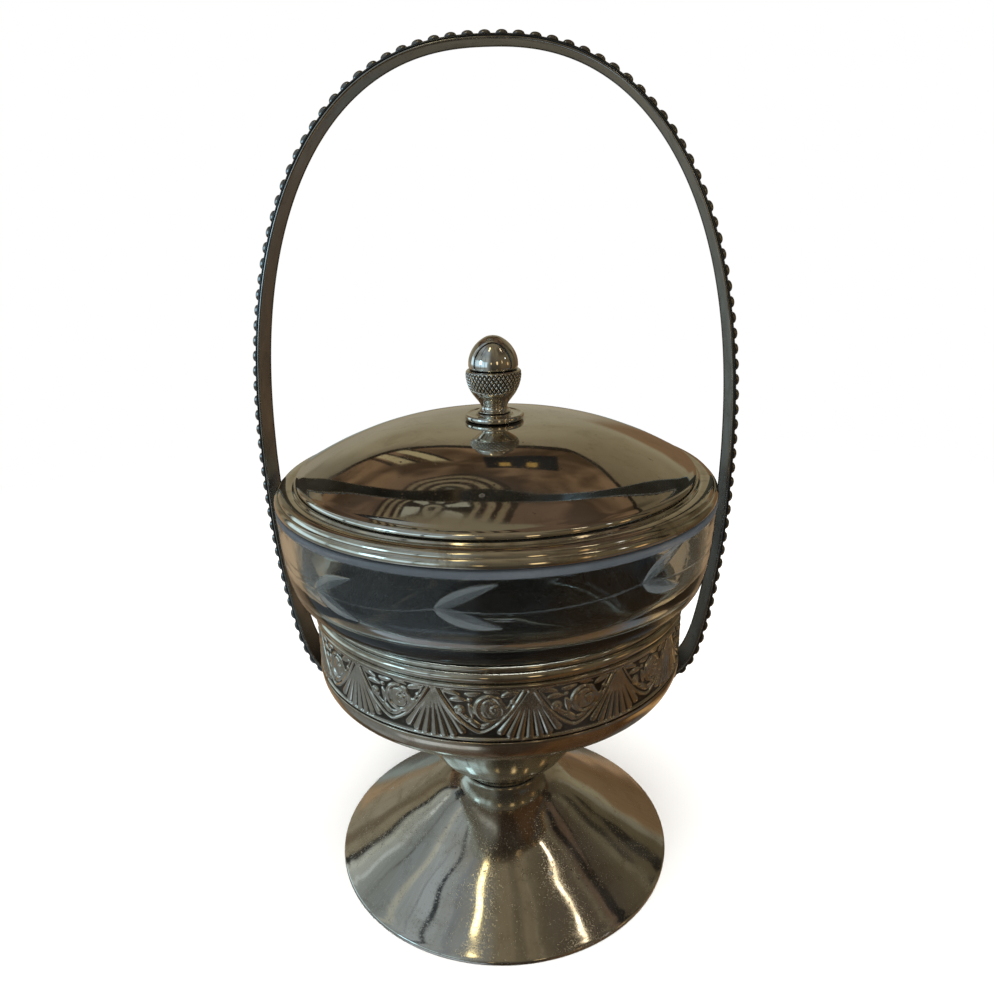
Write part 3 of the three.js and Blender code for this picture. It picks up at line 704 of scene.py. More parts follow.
NU, NV = 116, 76
relief = blur(tile(NU, NV), 1)
wide = blur(relief, 10)
hollow = np.clip(0.62 - relief / 0.60 + (wide - relief) * 1.9, 0, 1)
cols = NU * REPEATS
H = np.tile(relief, (REPEATS, 1))
low = np.tile(hollow, (REPEATS, 1))
th = (np.arange(cols) / cols) * TAU
az = th - FAN_AT                     # azimuth of column: 0 at the fan seen at FAN_AT
phi_col = az + FAN_AT + ALPHA
v = np.linspace(0, BAND_H, NV)
worn = waves(21, th[:, None] * np.ones((1, NV)), v[None, :] * np.ones((cols, 1)), 0.035, 1, 9, (8.0, 30.0))
Rf = 53.26 + 0.80 * H * (1 + 0.6 * worn) + worn * 0.4
# azimuth a is measured from -Y toward +X, so x = r sin a, y = -r cos a
a_col = th + FAN_AT + ALPHA
outer = np.stack([Rf * np.sin(a_col)[:, None], -Rf * np.cos(a_col)[:, None],
                  BAND_Z0 + v[None, :] * np.ones((cols, 1))], -1)
inner_r = 52.93
inner = np.stack([inner_r * np.sin(a_col)[:, None] * np.ones((1, 2)), -inner_r * np.cos(a_col)[:, None] * np.ones((1, 2)),
                  np.ones((cols, 1)) * np.array([[BAND_Z0 + BAND_H, BAND_Z0]])], -1)
co = np.concatenate([outer, inner], 1)
m = co.shape[1]
idx = np.arange(cols * m).reshape(cols, m)
b = np.roll(idx, -1, 0)
quads = np.stack([idx, b, np.roll(b, -1, 1), np.roll(idx, -1, 1)], -1).reshape(-1, 4)
co = co.reshape(-1, 3)
if signed_volume(co, quads, np.zeros((0, 3), int)) < 0:
    quads = quads[:, ::-1]
me = build_mesh("band_relief", co, quads)
attribute(me, "low", np.concatenate([low, np.ones((cols, 2)) * 0.5], 1).ravel())
place("band_relief", me, m_band, "stand", "embossed_band", sharp=50)


# ------------------------------------------------------------------ hoop
LOWER = [(38.5, 59.1), (43.5, 59.7), (48.2, 60.2), (52.2, 61.2), (55.6, 63.4), (58.3, 67), (60.5, 72.4), (62.2, 79.5),
         (63.9, 90), (65.2, 100.5), (66.15, 112)]
HOOP_A, HOOP_Z0, HOOP_TOP, POWER = 66.7, 130.0, 237.7, 2.35


def hoop_tip(count):
    """Bead-tip line in the XZ plane, from the right end over the crown to the left end, evenly spaced."""
    half = [tuple(p) for p in LOWER]
    for k in range(0, 61):
        t = (math.pi / 2) * k / 60
        half.append((HOOP_A * max(math.cos(t), 0.0) ** (2 / POWER),
                     HOOP_Z0 + (HOOP_TOP - HOOP_Z0) * math.sin(t) ** (2 / POWER)))
    right = _spline(half, 0.6)
    right[-1, 0] = 0.0
    left = right[::-1][1:] * np.array([-1, 1])
    line = np.vstack([right, left])
    s = np.concatenate([[0], np.cumsum(np.hypot(*np.diff(line, axis=0).T))])
    u = np.linspace(0, s[-1], count)
    p = np.column_stack([np.interp(u, s, line[:, 0]), np.interp(u, s, line[:, 1])])
    # smooth the tiny joins of the two curves, the ends stay
    for _ in range(3):
        p[1:-1] = 0.25 * p[:-2] + 0.5 * p[1:-1] + 0.25 * p[2:]
    return p, s[-1]


def frames(p):
    t = np.gradient(p, axis=0)
    t /= np.linalg.norm(t, axis=1)[:, None]
    T = np.column_stack([t[:, 0], np.zeros(len(p)), t[:, 1]])
    N = np.column_stack([t[:, 1], np.zeros(len(p)), -t[:, 0]])     # outward
    mid = np.array([0.0, 0.0, 130.0])
    C = np.column_stack([p[:, 0], np.zeros(len(p)), p[:, 1]])
    if np.einsum('ij,ij->i', N, C - mid).mean() < 0:
        N = -N
    B = np.tile(np.array([0.0, 1.0, 0.0]), (len(p), 1))
    return C, T, N, B


tip, LEN = hoop_tip(900)
C, T, N, B = frames(tip)
# strip section (outward, front-to-back), outward measured from the tip line:
# outer face at -1.1, inner face at -2.1, two fine raised lines round each edge
sec = []


def arc_pts(cx, cy, rad, a0, a1, n):
    return [(cx + rad * math.cos(math.radians(a0 + (a1 - a0) * k / n)), cy + rad * math.sin(math.radians(a0 + (a1 - a0) * k / n)))
            for k in range(n + 1)]


half = [(-2.06, 0.0), (-2.1, 2.4), (-2.1, 4.55)]
half += arc_pts(-1.90, 5.08, 0.36, 236, 30, 11)         # inner edge roll
half += [(-1.575, 5.2)]
half += arc_pts(-1.34, 5.16, 0.20, 175, 20, 6)          # outer edge line
half += [(-1.10, 5.05), (-1.1, 4.4), (-1.1, 2.2), (-1.14, 0.0)]
half = np.array(half)
back = half[1:-1][::-1] * np.array([1, -1])
section = np.vstack([half, back])
# painted highlight: the inner edge rolls get a lighter base colour for a bright reflected line, partly also wear
rubbed_sheen = np.where((section[:, 0] < -1.6) & (np.abs(section[:, 1]) > 4.75), 1.0, 0.0) * np.clip((np.abs(section[:, 1]) - 4.7) / 0.35, 0, 1)
me = build_mesh("hoop_strip", *sweep(section, C, T, N, B))
attribute(me, "rubbed_sheen", np.concatenate([np.tile(rubbed_sheen * 0.75, len(tip)), [0, 0]]))
place("hoop_strip", me, m_hoop, "stand", "handle_strip", sharp=45)

# bead wires: a low base that swells into beads
BEADS = 111
PER = 15


def bead_wire(name, node, y0):
    n = BEADS * PER + 1
    p, L = hoop_tip(n)
    C, T, N, B = frames(p)
    k = np.arange(n)
    x = ((k % PER) / PER - 0.5) * (L / BEADS)          # from a bead's centre, along the wire
    rad = 1.46
    f = np.sqrt(np.clip(1 - (x / rad) ** 2, 0, 1))
    end = np.minimum(1.0, np.minimum(k, n - 1 - k) / 3.0)
    hgt = 0.26 + (1.06 - 0.26) * f ** 1.05
    wid = 0.80 + (1.36 - 0.80) * f ** 0.9
    hgt = np.maximum(hgt * (0.25 + 0.75 * end), 0.1)
    ang = np.radians(np.linspace(0, 180, 13))
    sec = np.zeros((n, 15, 2))
    for j, a in enumerate(ang):
        sec[:, j, 0] = -1.08 + hgt * math.sin(a) ** 0.92 if 0 < j < 12 else -1.08
        sec[:, j, 1] = y0 + wid * math.cos(a)
    sec[:, 13, 0], sec[:, 13, 1] = -1.09, y0 - wid * 0.4
    sec[:, 14, 0], sec[:, 14, 1] = -1.09, y0 + wid * 0.4
    me = build_mesh(name, *sweep(sec, C, T, N, B))
    top = np.zeros((n, 15))
    # bead tops worn bright: partly wear and partly painted highlight, a lighter base colour
    top[:, :13] = np.clip((f[:, None] - 0.70) / 0.25, 0, 1) * np.sin(ang)[None, :] ** 0.5 * 0.55
    attribute(me, "rubbed_sheen", np.concatenate([top.ravel(), [0, 0]]))
    place(name, me, m_bead, "stand", node, sharp=60)


bead_wire("front_beads", "front_bead_wire", -3.9)
bead_wire("rear_beads", "rear_bead_wire", 3.9)


# ------------------------------------------------------------- glass liner
glass = rounded([(0, 66.4), (25.2, 66.4, .8), (27.6, 63.5, 's'), (28.6, 63.2, 's'), (32.6, 63.2, 's'), (34.5, 63.35, 's'), (40, 64.45, 's'),
                 (45, 66.3, 's'), (48.6, 69.2, 's'), (50.4, 72.8, 's'), (51.05, 77, 's'), (51.1, 86, 's'), (51.1, 93.2, 's'),
                 (51.5, 94.75, 's'), (52.6, 95.25, 's'), (55.2, 96.1, 's'), (57.6, 97.5, 's'), (59.1, 99.5, 's'), (60.0, 102.2, 's'),
                 (60.6, 105, 's'), (61.1, 109, 's'), (61.5, 113, 's'), (61.78, 117.4, 's'), (61.9, 120.6, 's'), (61.88, 121.9, 's'), (61.3, 122.85, 's'),
                 (60.2, 123.0, 's'), (59.3, 122.85, 's'), (58.75, 122.1, 's'), (58.55, 120, 's'), (58.4, 117, 's'), (57.9, 110, 's'),
                 (57.2, 105, 's'), (55.6, 101.7, 's'), (52.8, 99.6, 's'), (49.7, 97.9, 's'), (47.9, 95.2, 's'), (47.4, 88, 's'), (47.2, 78.8, 's'),
                 (45.6, 74.0, 's'), (41.6, 71.1, 's'), (36, 70.05, 's'), (20, 69.8, 's'), (0, 69.8)], closed=False, step=0.9)
# finer rings over the cut leaves on the outer wall
WALL_Z = [99.5, 102.2, 105, 109, 113, 117.4, 120.6]
WALL_R = [59.1, 60.0, 60.6, 61.1, 61.5, 61.78, 61.9]
p = oriented(glass)
fine = [p[0]]
for q0, q1 in zip(p[:-1], p[1:]):
    both_outer = min(q0[1], q1[1]) > 103.0 and max(q0[1], q1[1]) < 121.6 and \
        min(q0[0] - np.interp(q0[1], WALL_Z, WALL_R), q1[0] - np.interp(q1[1], WALL_Z, WALL_R)) > -1.0
    n = max(1, int(math.ceil(np.linalg.norm(q1 - q0) / 0.27))) if both_outer else 1
    for k in range(1, n + 1):
        fine.append(q0 + (q1 - q0) * k / n)
glass_profile = np.array(fine)
GN = 1320
MOTIFS = [-46.8, -13.7, 33.0, 79.5, 122.5, 165.0, 207.5, 249.5, 281.5]     # vertex azimuths, cut by hand, uneven
MOTIF_Z = [110.6, 113.2, 114.5, 112.6, 113.0, 112.2, 113.1, 112.4, 112.9]


def leaf_field(az_deg, z):
    """cut depth, matt weight and tone of the leaves at azimuth (camera sees 0 at its middle) and height; the tone is
    painted shading, lighter on one half of each leaf.
    """
    depth = np.zeros(az_deg.shape)
    tone = np.full(az_deg.shape, 0.3)
    for i, (a0, z0) in enumerate(zip(MOTIFS, MOTIF_Z)):
        da = (az_deg - a0 + 180) % 360 - 180
        x = np.radians(da) * 60.0
        k = 1.0 + 0.05 * math.sin(i * 2.3)
        for tx, tz, w, bow in ((13.9 * k, 6.6, 1.75, 0.9), (14.6 * k, -4.7, 2.05, -0.7)):
            L = math.hypot(tx, tz)
            ux, uz = tx / L, tz / L
            t = (x * ux + (z - z0) * uz) / L
            s = -x * uz + (z - z0) * ux
            s = s - bow * 4 * t * (1 - t) * 0.8
            hw = w * np.sin(np.pi * np.clip(t, 0, 1) ** 0.72) ** 0.85
            inside = (t > 0) & (t < 1) & (np.abs(s) < hw)
            prof = np.clip(1 - (np.abs(s) / np.maximum(hw, 1e-3)), 0, 1)
            d = np.where(inside, 0.25 + 0.75 * prof, 0.0)
            depth = np.maximum(depth, d)
            # painted shading: one half of each leaf gets a lighter tone, as if lit from one side
            side = 0.5 + 0.5 * np.tanh(s / 0.22) * (1 if tz > 0 else -1)
            tone = np.where(inside, 0.25 + 0.75 * side, tone)
        # thin stem to the next vertex on the right
        j = (i + 1) % len(MOTIFS)
        span = (MOTIFS[j] - a0) % 360
        u = np.clip(da / span, 0, 1) if span else 0
        zz = z0 + (MOTIF_Z[j] - z0) * u - 1.3 * 4 * u * (1 - u)
        on = (da > 0) & (da < span)
        line = np.clip(1 - np.abs(z - zz) / 0.24, 0, 1) * on
        depth = np.maximum(depth, line * 0.5)
        tone = np.where(line > 0.2, 0.55, tone)
    return depth, tone


mp = len(glass_profile)
th = np.arange(GN) * TAU / GN
R = np.repeat(glass_profile[:, :1], GN, 1)
Z = np.repeat(glass_profile[:, 1:], GN, 1)
TH = np.repeat(th[None], mp, 0)
az_deg = np.degrees(np.arctan2(np.cos(TH), -np.sin(TH))) - math.degrees(ALPHA)
frost = np.clip((Z - 120.75) / 0.5, 0, 1)
wall = (Z > 102.5) & (Z < 122.0) & (R > np.interp(Z, WALL_Z, WALL_R) - 1.0)
cut, tone = leaf_field(az_deg, Z)
cut = np.where(wall, cut, 0)
R = R - 0.14 * cut
R = R + waves(31, TH, Z, 0.035, 2, 8, (12.0, 40.0)) * np.clip(R / 30, 0, 1) * (R < 61.8)
co = np.stack([R * np.cos(TH), R * np.sin(TH), Z], -1)
body = co[1:-1].reshape(-1, 3)
idx = np.arange((mp - 2) * GN).reshape(mp - 2, GN)
body = np.vstack([body, [0, 0, glass_profile[0, 1]], [0, 0, glass_profile[-1, 1]]])
lo, hi = (mp - 2) * GN, (mp - 2) * GN + 1
a, b = idx[:-1], idx[1:]
quads = np.stack([a, np.roll(a, -1, 1), np.roll(b, -1, 1), b], -1).reshape(-1, 4)
tris = np.vstack([np.stack([np.full(GN, lo), np.roll(idx[0], -1), idx[0]], -1),
                  np.stack([np.full(GN, hi), idx[-1], np.roll(idx[-1], -1)], -1)])
me = build_mesh("glass_bowl", body, quads, tris)
attribute(me, "cut", np.concatenate([cut[1:-1].ravel(), [0, 0]]))
attribute(me, "tone", np.concatenate([tone[1:-1].ravel(), [0, 0]]))
attribute(me, "frost", np.concatenate([frost[1:-1].ravel(), [0, 0]]))
place("glass_bowl", me, m_glass, "liner", "glass_liner", sharp=0)


# --------------------------------------------------------------------- lid
SPH = (55.7 ** 2 + 12.6 ** 2) / (2 * 12.6)


def dome_z(r):
    full = 1.5 * math.sin(math.pi * (r / 54.0) ** 1.2) if r < 54.0 else 0.0
    return 141.6 - (SPH - math.sqrt(SPH * SPH - r * r)) + full


outer_pts = [(55.9, 127.9, .15), (55.9, 128.3, 's'), (55.72, 128.8, 's'), (55.25, 129.2, 's'), (54.5, 129.55, 's')]
outer_pts += [(53.4, dome_z(53.4) + 0.1, 's'), (52.3, dome_z(52.3) + 0.1, 's')]
outer_pts += [(r_, dome_z(r_) + 0.1 * (r_ > 46), 's') for r_ in (51, 48, 44, 40, 36, 32, 28, 24, 20, 16, 12, 8, 5)]
outer_pts += [(2.2, 141.6, .1), (2.2, 140.7, .1)]
outer_pts += [(r_, dome_z(r_) - 0.9, 's') for r_ in (5, 8, 12, 16, 20, 24, 28, 32, 36, 40, 44, 48, 51)]
outer_pts += [(53.2, dome_z(53.8) - 0.85, 's'), (54.5, 128.6, .3), (55.1, 127.9, .2)]
lid = rounded(outer_pts, step=0.8)


def lid_warp(R, Z, TH):
    w = waves(41, TH, R, 0.055, 2, 9, (16.0, 50.0)) * np.clip((R - 9) / 8, 0, 1) * np.clip((54.0 - R) / 5.0, 0, 1)
    return R, Z + w


place("dome_skin", build_mesh("dome_skin", *lathe(lid, 320, lid_warp)), m_lid, "lid", "lid_dome")

ring = rounded([(58.9, 123.3, .15), (61.5, 123.3, .15), (61.9, 123.5, 's'), (61.97, 124.0, 's'), (61.8, 124.65, 's'), (61.4, 125.25, 's'),
                (61.0, 125.55, .08), (60.78, 125.5, .08), (60.62, 125.95, 's'), (60.25, 126.45, 's'), (59.65, 126.8, 's'), (58.95, 127.0, 's'),
                (58.2, 127.08, 's'), (57.5, 127.05, 's'), (57.1, 126.95, .08), (56.85, 126.98, .08), (56.45, 127.45, .12), (55.2, 127.6, .15),
                (55.2, 126.7, .15), (57.9, 126.35, .3), (58.4, 125.2, .2)], step=0.16)
place("border_skin", build_mesh("border_skin", *lathe(ring, 320)), m_ring, "lid", "lid_border_ring")

bezel = rounded([(57.1, 120.9, .15), (57.9, 120.9, .3), (57.9, 126.1, .15), (57.1, 126.1, .15)], step=0.4)
place("bezel_skin", build_mesh("bezel_skin", *lathe(bezel, 256, lambda R, Z, TH: (R + waves(42, TH, Z, 0.03, 2, 6), Z))),
      m_bezel, "lid", "lid_bezel")

# ------------------------------------------------------------------ finial
disc = rounded([(2.2, 141.9, .1), (7.55, 141.9, .15), (7.7, 142.15, .1), (8.1, 142.3, .12), (8.22, 142.6, 's'), (8.24, 143.15, 's'), (8.1, 143.5, 's'),
                (7.75, 143.68, 's'), (7.35, 143.6, 's'), (6.9, 143.45, .15), (5.3, 143.5, 's'), (4.9, 143.88, .12), (2.2, 143.88, .1)], step=0.2)
place("finial_plate_skin", build_mesh("finial_plate_skin", *lathe(disc, 160)), m_finial, "lid", "finial_disc")

knob = rounded([(2.2, 144.2, .1), (4.6, 144.2, .1), (4.62, 144.45, .08), (4.1, 144.75, 's'), (3.74, 145.3, 's'), (3.7, 145.9, 's'), (3.95, 146.5, 's'), (4.5, 147.3, 's'),
                (5.2, 148.2, 's'), (5.95, 149.2, 's'), (6.6, 150.3, 's'), (7.1, 151.4, 's'), (7.45, 152.6, 's'), (7.68, 153.8, 's'),
                (7.7, 154.8, 's'), (7.55, 155.5, 's'), (7.15, 155.88, .1), (5.75, 155.9, .12), (5.5, 155.0, .1),
                (2.2, 155.0, .1)], step=0.10)


def hatch_depth(R, Z, TH):
    """Lozenges cut by two sets of slanting grooves on the upper part of the acorn's cup: 1 in a groove."""
    on = np.clip((Z - 150.0 + 0.25 * np.sin(3 * TH)) / 0.5, 0, 1) * np.clip((155.6 - Z) / 0.3, 0, 1) * (R > 6.2)
    u = 38 * TH / TAU + (Z - 150.0) / 1.8 + 0.12 * np.sin(3 * TH + 1)
    w = 38 * TH / TAU - (Z - 150.0) / 1.8 + 0.10 * np.sin(2 * TH)
    du = np.abs((u - np.floor(u)) - 0.5) * 2
    dw = np.abs((w - np.floor(w)) - 0.5) * 2
    g = np.maximum(du, dw)
    return np.clip((g - 0.50) / 0.50, 0, 1) * on, np.clip(g / 0.5, 0, 1) ** 2 * on


def hatch(R, Z, TH):
    deep, swell = hatch_depth(R, Z, TH)
    return R - 0.34 * deep - 0.05 * swell, Z


kp = oriented(np.asarray(knob, float))
kn = 704
kg = hatch_depth(np.repeat(kp[:, :1], kn, 1), np.repeat(kp[:, 1:], kn, 1), np.repeat((np.arange(kn) * TAU / kn)[None, :], len(kp), 0))[0]
me = build_mesh("finial_cup_skin", *lathe(knob, kn, hatch))
attribute(me, "groove", kg.ravel())
place("finial_cup_skin", me, m_hatched, "lid", "finial_cup", sharp=0)

acorn = rounded([(0, 160.4), (2.2, 160.0, .2), (2.2, 155.3, .1), (5.2, 155.3, .1), (5.4, 156.2, .12), (6.55, 156.2, .15), (6.82, 156.8, 's'), (6.84, 157.4, 's'),
                 (6.74, 158.6, 's'), (6.42, 159.8, 's'), (5.88, 161.0, 's'), (5.18, 162.1, 's'), (4.3, 163.1, 's'), (3.2, 164.0, 's'), (1.75, 164.8, 's'),
                 (0, 165.15)], closed=False, step=0.25)
place("finial_acorn_skin", build_mesh("finial_acorn_skin", *lathe(acorn, 160)), m_finial, "lid", "finial_acorn")


# ----------------------------------------------------------------- fixings
def circle(r, n=96, hexa=None):
    t = np.arange(n) * TAU / n
    if hexa is None:
        return np.column_stack([r * np.cos(t), r * np.sin(t)])
    k = np.cos(math.pi / 6) / np.cos((t % (math.pi / 3)) - math.pi / 6)
    rr = np.minimum(hexa / math.cos(math.pi / 6) * k, hexa / math.cos(math.pi / 6) * 0.985)
    return np.column_stack([rr * np.cos(t), rr * np.sin(t)])


def hex_nut(name, node, body, af, hole, z0, z1):
    o = circle(0, 96, af / 2)
    i = circle(hole, 96)
    c = 0.45
    levels = [(z0, 0.93, 1.12), (z0 + c * 0.5, 0.985, 1.0), (z0 + c, 1.0, 1.0), (z1 - c, 1.0, 1.0), (z1 - c * 0.5, 0.985, 1.0), (z1, 0.93, 1.12)]
    me = build_mesh(name, *ring_prism(o, i, levels))
    place(name, me, m_brass, body, node, sharp=30)


def washer(name, node, body, ro, ri, z0, z1):
    p = rounded([(ri, z0, .1), (ro, z0, .25), (ro, z1, .25), (ri, z1, .1)], step=0.5)
    place(name, build_mesh(name, *lathe(p, 96)), m_brass, body, node)


def threaded(z0, z1, r, pitch=0.8, depth=0.18, n=48):
    """Side of a screw with ring threads, bottom to top."""
    pts, z = [], z0
    while z < z1 - pitch:
        pts += [(r, z), (r - depth, z + pitch * 0.5)]
        z += pitch
    return pts + [(r, z1)]


bolt = [(0, 17.6), (2.6, 17.6), (3.0, 18.1)] + threaded(18.4, 28.5, 3.0) + [(3.0, 62.4), (6.2, 62.4), (6.6, 62.8), (6.6, 64.2), (6.1, 64.9), (4.2, 65.2), (0, 65.2)]
place("tie_bolt", build_mesh("tie_bolt", *lathe(np.array(bolt, float), 72)), m_brass, "stand", "stem_bolt", sharp=25)
hex_nut("tie_nut", "stem_nut", "stand", 10.0, 3.3, 20.3, 24.3)
washer("tie_washer", "stem_washer", "stand", 9.0, 3.3, 24.6, 25.8)
stud = [(0, 134.8), (1.6, 134.8), (1.9, 135.1)] + threaded(135.3, 140.2, 1.9, 0.5, 0.12) + [(1.9, 159.3), (1.6, 159.7), (0, 159.7)]
place("knob_stud", build_mesh("knob_stud", *lathe(np.array(stud, float), 60)), m_brass, "lid", "finial_stud", sharp=25)
hex_nut("knob_nut", "finial_nut", "lid", 7.0, 2.2, 136.2, 138.8)
washer("knob_washer", "finial_washer", "lid", 6.0, 2.2, 139.1, 140.0)


# ------------------------------------------------------------------- stage
PALE = (1.0, 1.0, 1.0)


def stage_floor():
    g = Graph("pale_floor")
    P = g.node('ShaderNodeTexCoord').outputs['Object']
    d = g.vmath('LENGTH', P)
    fade = g.ramp(d, 0.16, 0.55)
    tone = g.mix(g.noise(P, 12.0, 3.0), (0.895, 0.90, 0.905, 1), (0.935, 0.94, 0.945, 1))
    dif = g.node('ShaderNodeBsdfDiffuse', {'Color': tone, 'Roughness': 0.9})
    em = g.node('ShaderNodeEmission', {'Color': (*PALE, 1), 'Strength': 1.0})
    mx = g.node('ShaderNodeMixShader', {0: fade})
    g.t.links.new(dif.outputs[0], mx.inputs[1])
    g.t.links.new(em.outputs[0], mx.inputs[2])
    out = g.node('ShaderNodeOutputMaterial')
    g.t.links.new(mx.outputs[0], out.inputs[0])
    n = 96
    rings = [0.0, 40, 80, 120, 200, 320, 500, 800, 1400, 2600]
    pts, faces = [(0.0, 0.0, -0.12)], []
    for r_ in rings[1:]:
        pts += [(r_ * math.cos(TAU * k / n), r_ * math.sin(TAU * k / n), -0.12) for k in range(n)]
    tr = np.array([(0, 1 + k, 1 + (k + 1) % n) for k in range(n)])
    q = []
    for j in range(len(rings) - 2):
        a0, b0 = 1 + j * n, 1 + (j + 1) * n
        q += [(a0 + k, b0 + k, b0 + (k + 1) % n, a0 + (k + 1) % n) for k in range(n)]
    me = build_mesh("floor", np.array(pts), np.array(q), tr)
    me.materials.append(g.mat)
    o = bpy.data.objects.new("floor", me)
    bpy.context.scene.collection.objects.link(o)
    o.visible_glossy = False
    o.visible_transmission = False
    return o


def stage_backdrop():
    g = Graph("pale_backdrop")
    em = g.node('ShaderNodeEmission', {'Color': (*PALE, 1), 'Strength': 1.0})
    out = g.node('ShaderNodeOutputMaterial')
    g.t.links.new(em.outputs[0], out.inputs[0])
    pts = [(0.0, -2550.0)] + [(2550.0 * math.cos(math.radians(a)), 2550.0 * math.sin(math.radians(a))) for a in range(-80, 81, 8)] + [(0.0, 2550.0)]
    me = build_mesh("backdrop", *lathe(np.array(pts), 64))
    me.materials.append(g.mat)
    o = bpy.data.objects.new("backdrop", me)
    bpy.context.scene.collection.objects.link(o)
    o.visible_glossy = False
    o.visible_transmission = False
    o.visible_diffuse = False
    o.visible_shadow = False
    o.visible_volume_scatter = False


stage_floor()
stage_backdrop()


# ---------------------------------------------------- studio surroundings
def surroundings():
    """A soft room round the bowl, given by direction: az from ahead (+Y) toward the
    right, el upwards. Cool and bright at the left, warm and dim at the right and behind."""
    w = bpy.data.worlds.new("studio")
    bpy.context.scene.world = w
    w.use_nodes = True
    g = Graph.__new__(Graph)
    g.t = w.node_tree
    g.t.nodes.clear()
    D = g.node('ShaderNodeTexCoord').outputs['Generated']
    D = g.node('ShaderNodeVectorRotate', {'Vector': D, 'Angle': -ALPHA}, rotation_type='Z_AXIS').outputs[0]
    warp = g.node('ShaderNodeTexNoise', {'Vector': D, 'Scale': 3.0, 'Detail': 1.0}).outputs['Color']
    warp = g.vmath('SUBTRACT', warp, (0.5, 0.5, 0.5))
    D = g.vmath('NORMALIZE', g.vmath('ADD', D, g.vmath('MULTIPLY', warp, (0.05, 0.05, 0.05))))
    x, y, z = g.node('ShaderNodeSeparateXYZ', {0: D}).outputs
    e = g.math('MULTIPLY_ADD', z, 0.5, 0.5)
    az = g.math('ARCTAN2', x, y)

    def rad(d):
        return math.radians(d)

    def within(centre, half, soft):
        """1 inside centre +- half (degrees of az), 0 beyond a soft edge."""
        d = g.math('ABSOLUTE', g.math('WRAP', g.math('SUBTRACT', az, rad(centre)), math.pi, -math.pi))
        return g.ramp(d, rad(half + soft), rad(half))

    def level(lo, hi, soft=0.03):
        return g.math('MULTIPLY', g.ramp(z, math.sin(rad(lo)) - soft, math.sin(rad(lo)) + soft),
                      g.ramp(z, math.sin(rad(hi)) + soft, math.sin(rad(hi)) - soft))

    def off_axis(a, el):
        """Angle in degrees from the direction (a, el)."""
        v = (math.sin(rad(a)) * math.cos(rad(el)), math.cos(rad(a)) * math.cos(rad(el)), math.sin(rad(el)))
        return g.math('MULTIPLY', g.math('ARCCOSINE', g.vmath('DOT_PRODUCT', D, v)), 180.0 / math.pi)

    ahead = g.colours(e, [(0.0, (.06, .045, .03)), (0.25, (.16, .125, .08)), (0.37, (.22, .18, .12)), (0.45, (.28, .24, .165)), (0.50, (.36, .32, .235)),
                          (0.55, (.35, .32, .24)), (0.60, (.33, .30, .215)), (0.67, (.26, .225, .15)), (0.76, (.21, .175, .115)), (0.86, (.17, .14, .09)),
                          (0.93, (.18, .15, .10)), (1.0, (.22, .19, .13))])
    behind = g.colours(e, [(0.0, (.045, .028, .016)), (0.10, (.050, .034, .022)), (0.17, (.058, .048, .038)), (0.27, (.044, .036, .027)),
                           (0.45, (.070, .060, .044)), (0.60, (.095, .08, .056)), (0.75, (.12, .10, .072)), (0.86, (.165, .137, .093)),
                           (0.93, (.225, .185, .118)), (1.0, (.24, .20, .135))])
    ahead = g.mix(g.math('MULTIPLY', g.ramp(x, 0.05, 0.35), 0.55), ahead, g.mix(1.0, ahead, (.74, .68, .58, 1), 'MULTIPLY'))
    col = g.mix(g.ramp(y, -0.22, 0.22), behind, ahead)

    # left: a cool bright wall with a window between two dark uprights
    top = g.ramp(z, 0.97, 0.86)
    left = g.math('MULTIPLY', within(-103, 46, 26), top)
    left = g.math('MULTIPLY', left, g.ramp(az, rad(-53.5), rad(-57.5)))
    lcol = g.colours(e, [(0.0, (.13, .10, .08)), (0.12, (.30, .35, .375)), (0.25, (.25, .285, .30)), (0.37, (.22, .215, .19)),
                         (0.50, (.30, .315, .29)), (0.60, (.46, .50, .48)), (0.70, (.38, .405, .385)), (0.80, (.29, .33, .345)),
                         (0.88, (.335, .378, .405)), (0.95, (.29, .31, .31)), (1.0, (.23, .20, .15))])
    col = g.mix(left, col, lcol)
    # right: warm dim wall
    right = g.math('MULTIPLY', within(96, 42, 26), top)
    right = g.math('MULTIPLY', right, g.ramp(az, rad(46), rad(52)))
    rcol = g.colours(e, [(0.0, (.12, .065, .03)), (0.15, (.135, .076, .032)), (0.25, (.11, .063, .027)), (0.37, (.10, .066, .034)),
                         (0.50, (.12, .09, .05)), (0.62, (.105, .083, .047)), (0.75, (.125, .10, .06)), (0.84, (.085, .066, .043)),
                         (0.90, (.10, .078, .052)), (0.95, (.13, .105, .07)), (1.0, (.21, .17, .11))])
    col = g.mix(right, col, rcol)

    # ceiling ahead, in the coordinates of a flat ceiling: a brown panel with a dark
    # edge, pale battens, a dark skylight and a moulded rose
    zi = g.math('DIVIDE', 1.0, g.math('MAXIMUM', z, 0.08))
    cx, cy = g.math('MULTIPLY', x, zi), g.math('MULTIPLY', y, zi)

    def combo(a_, b_, c_=0.0):
        return g.math('ADD', g.math('MULTIPLY_ADD', cx, a_, c_), g.math('MULTIPLY', cy, b_))

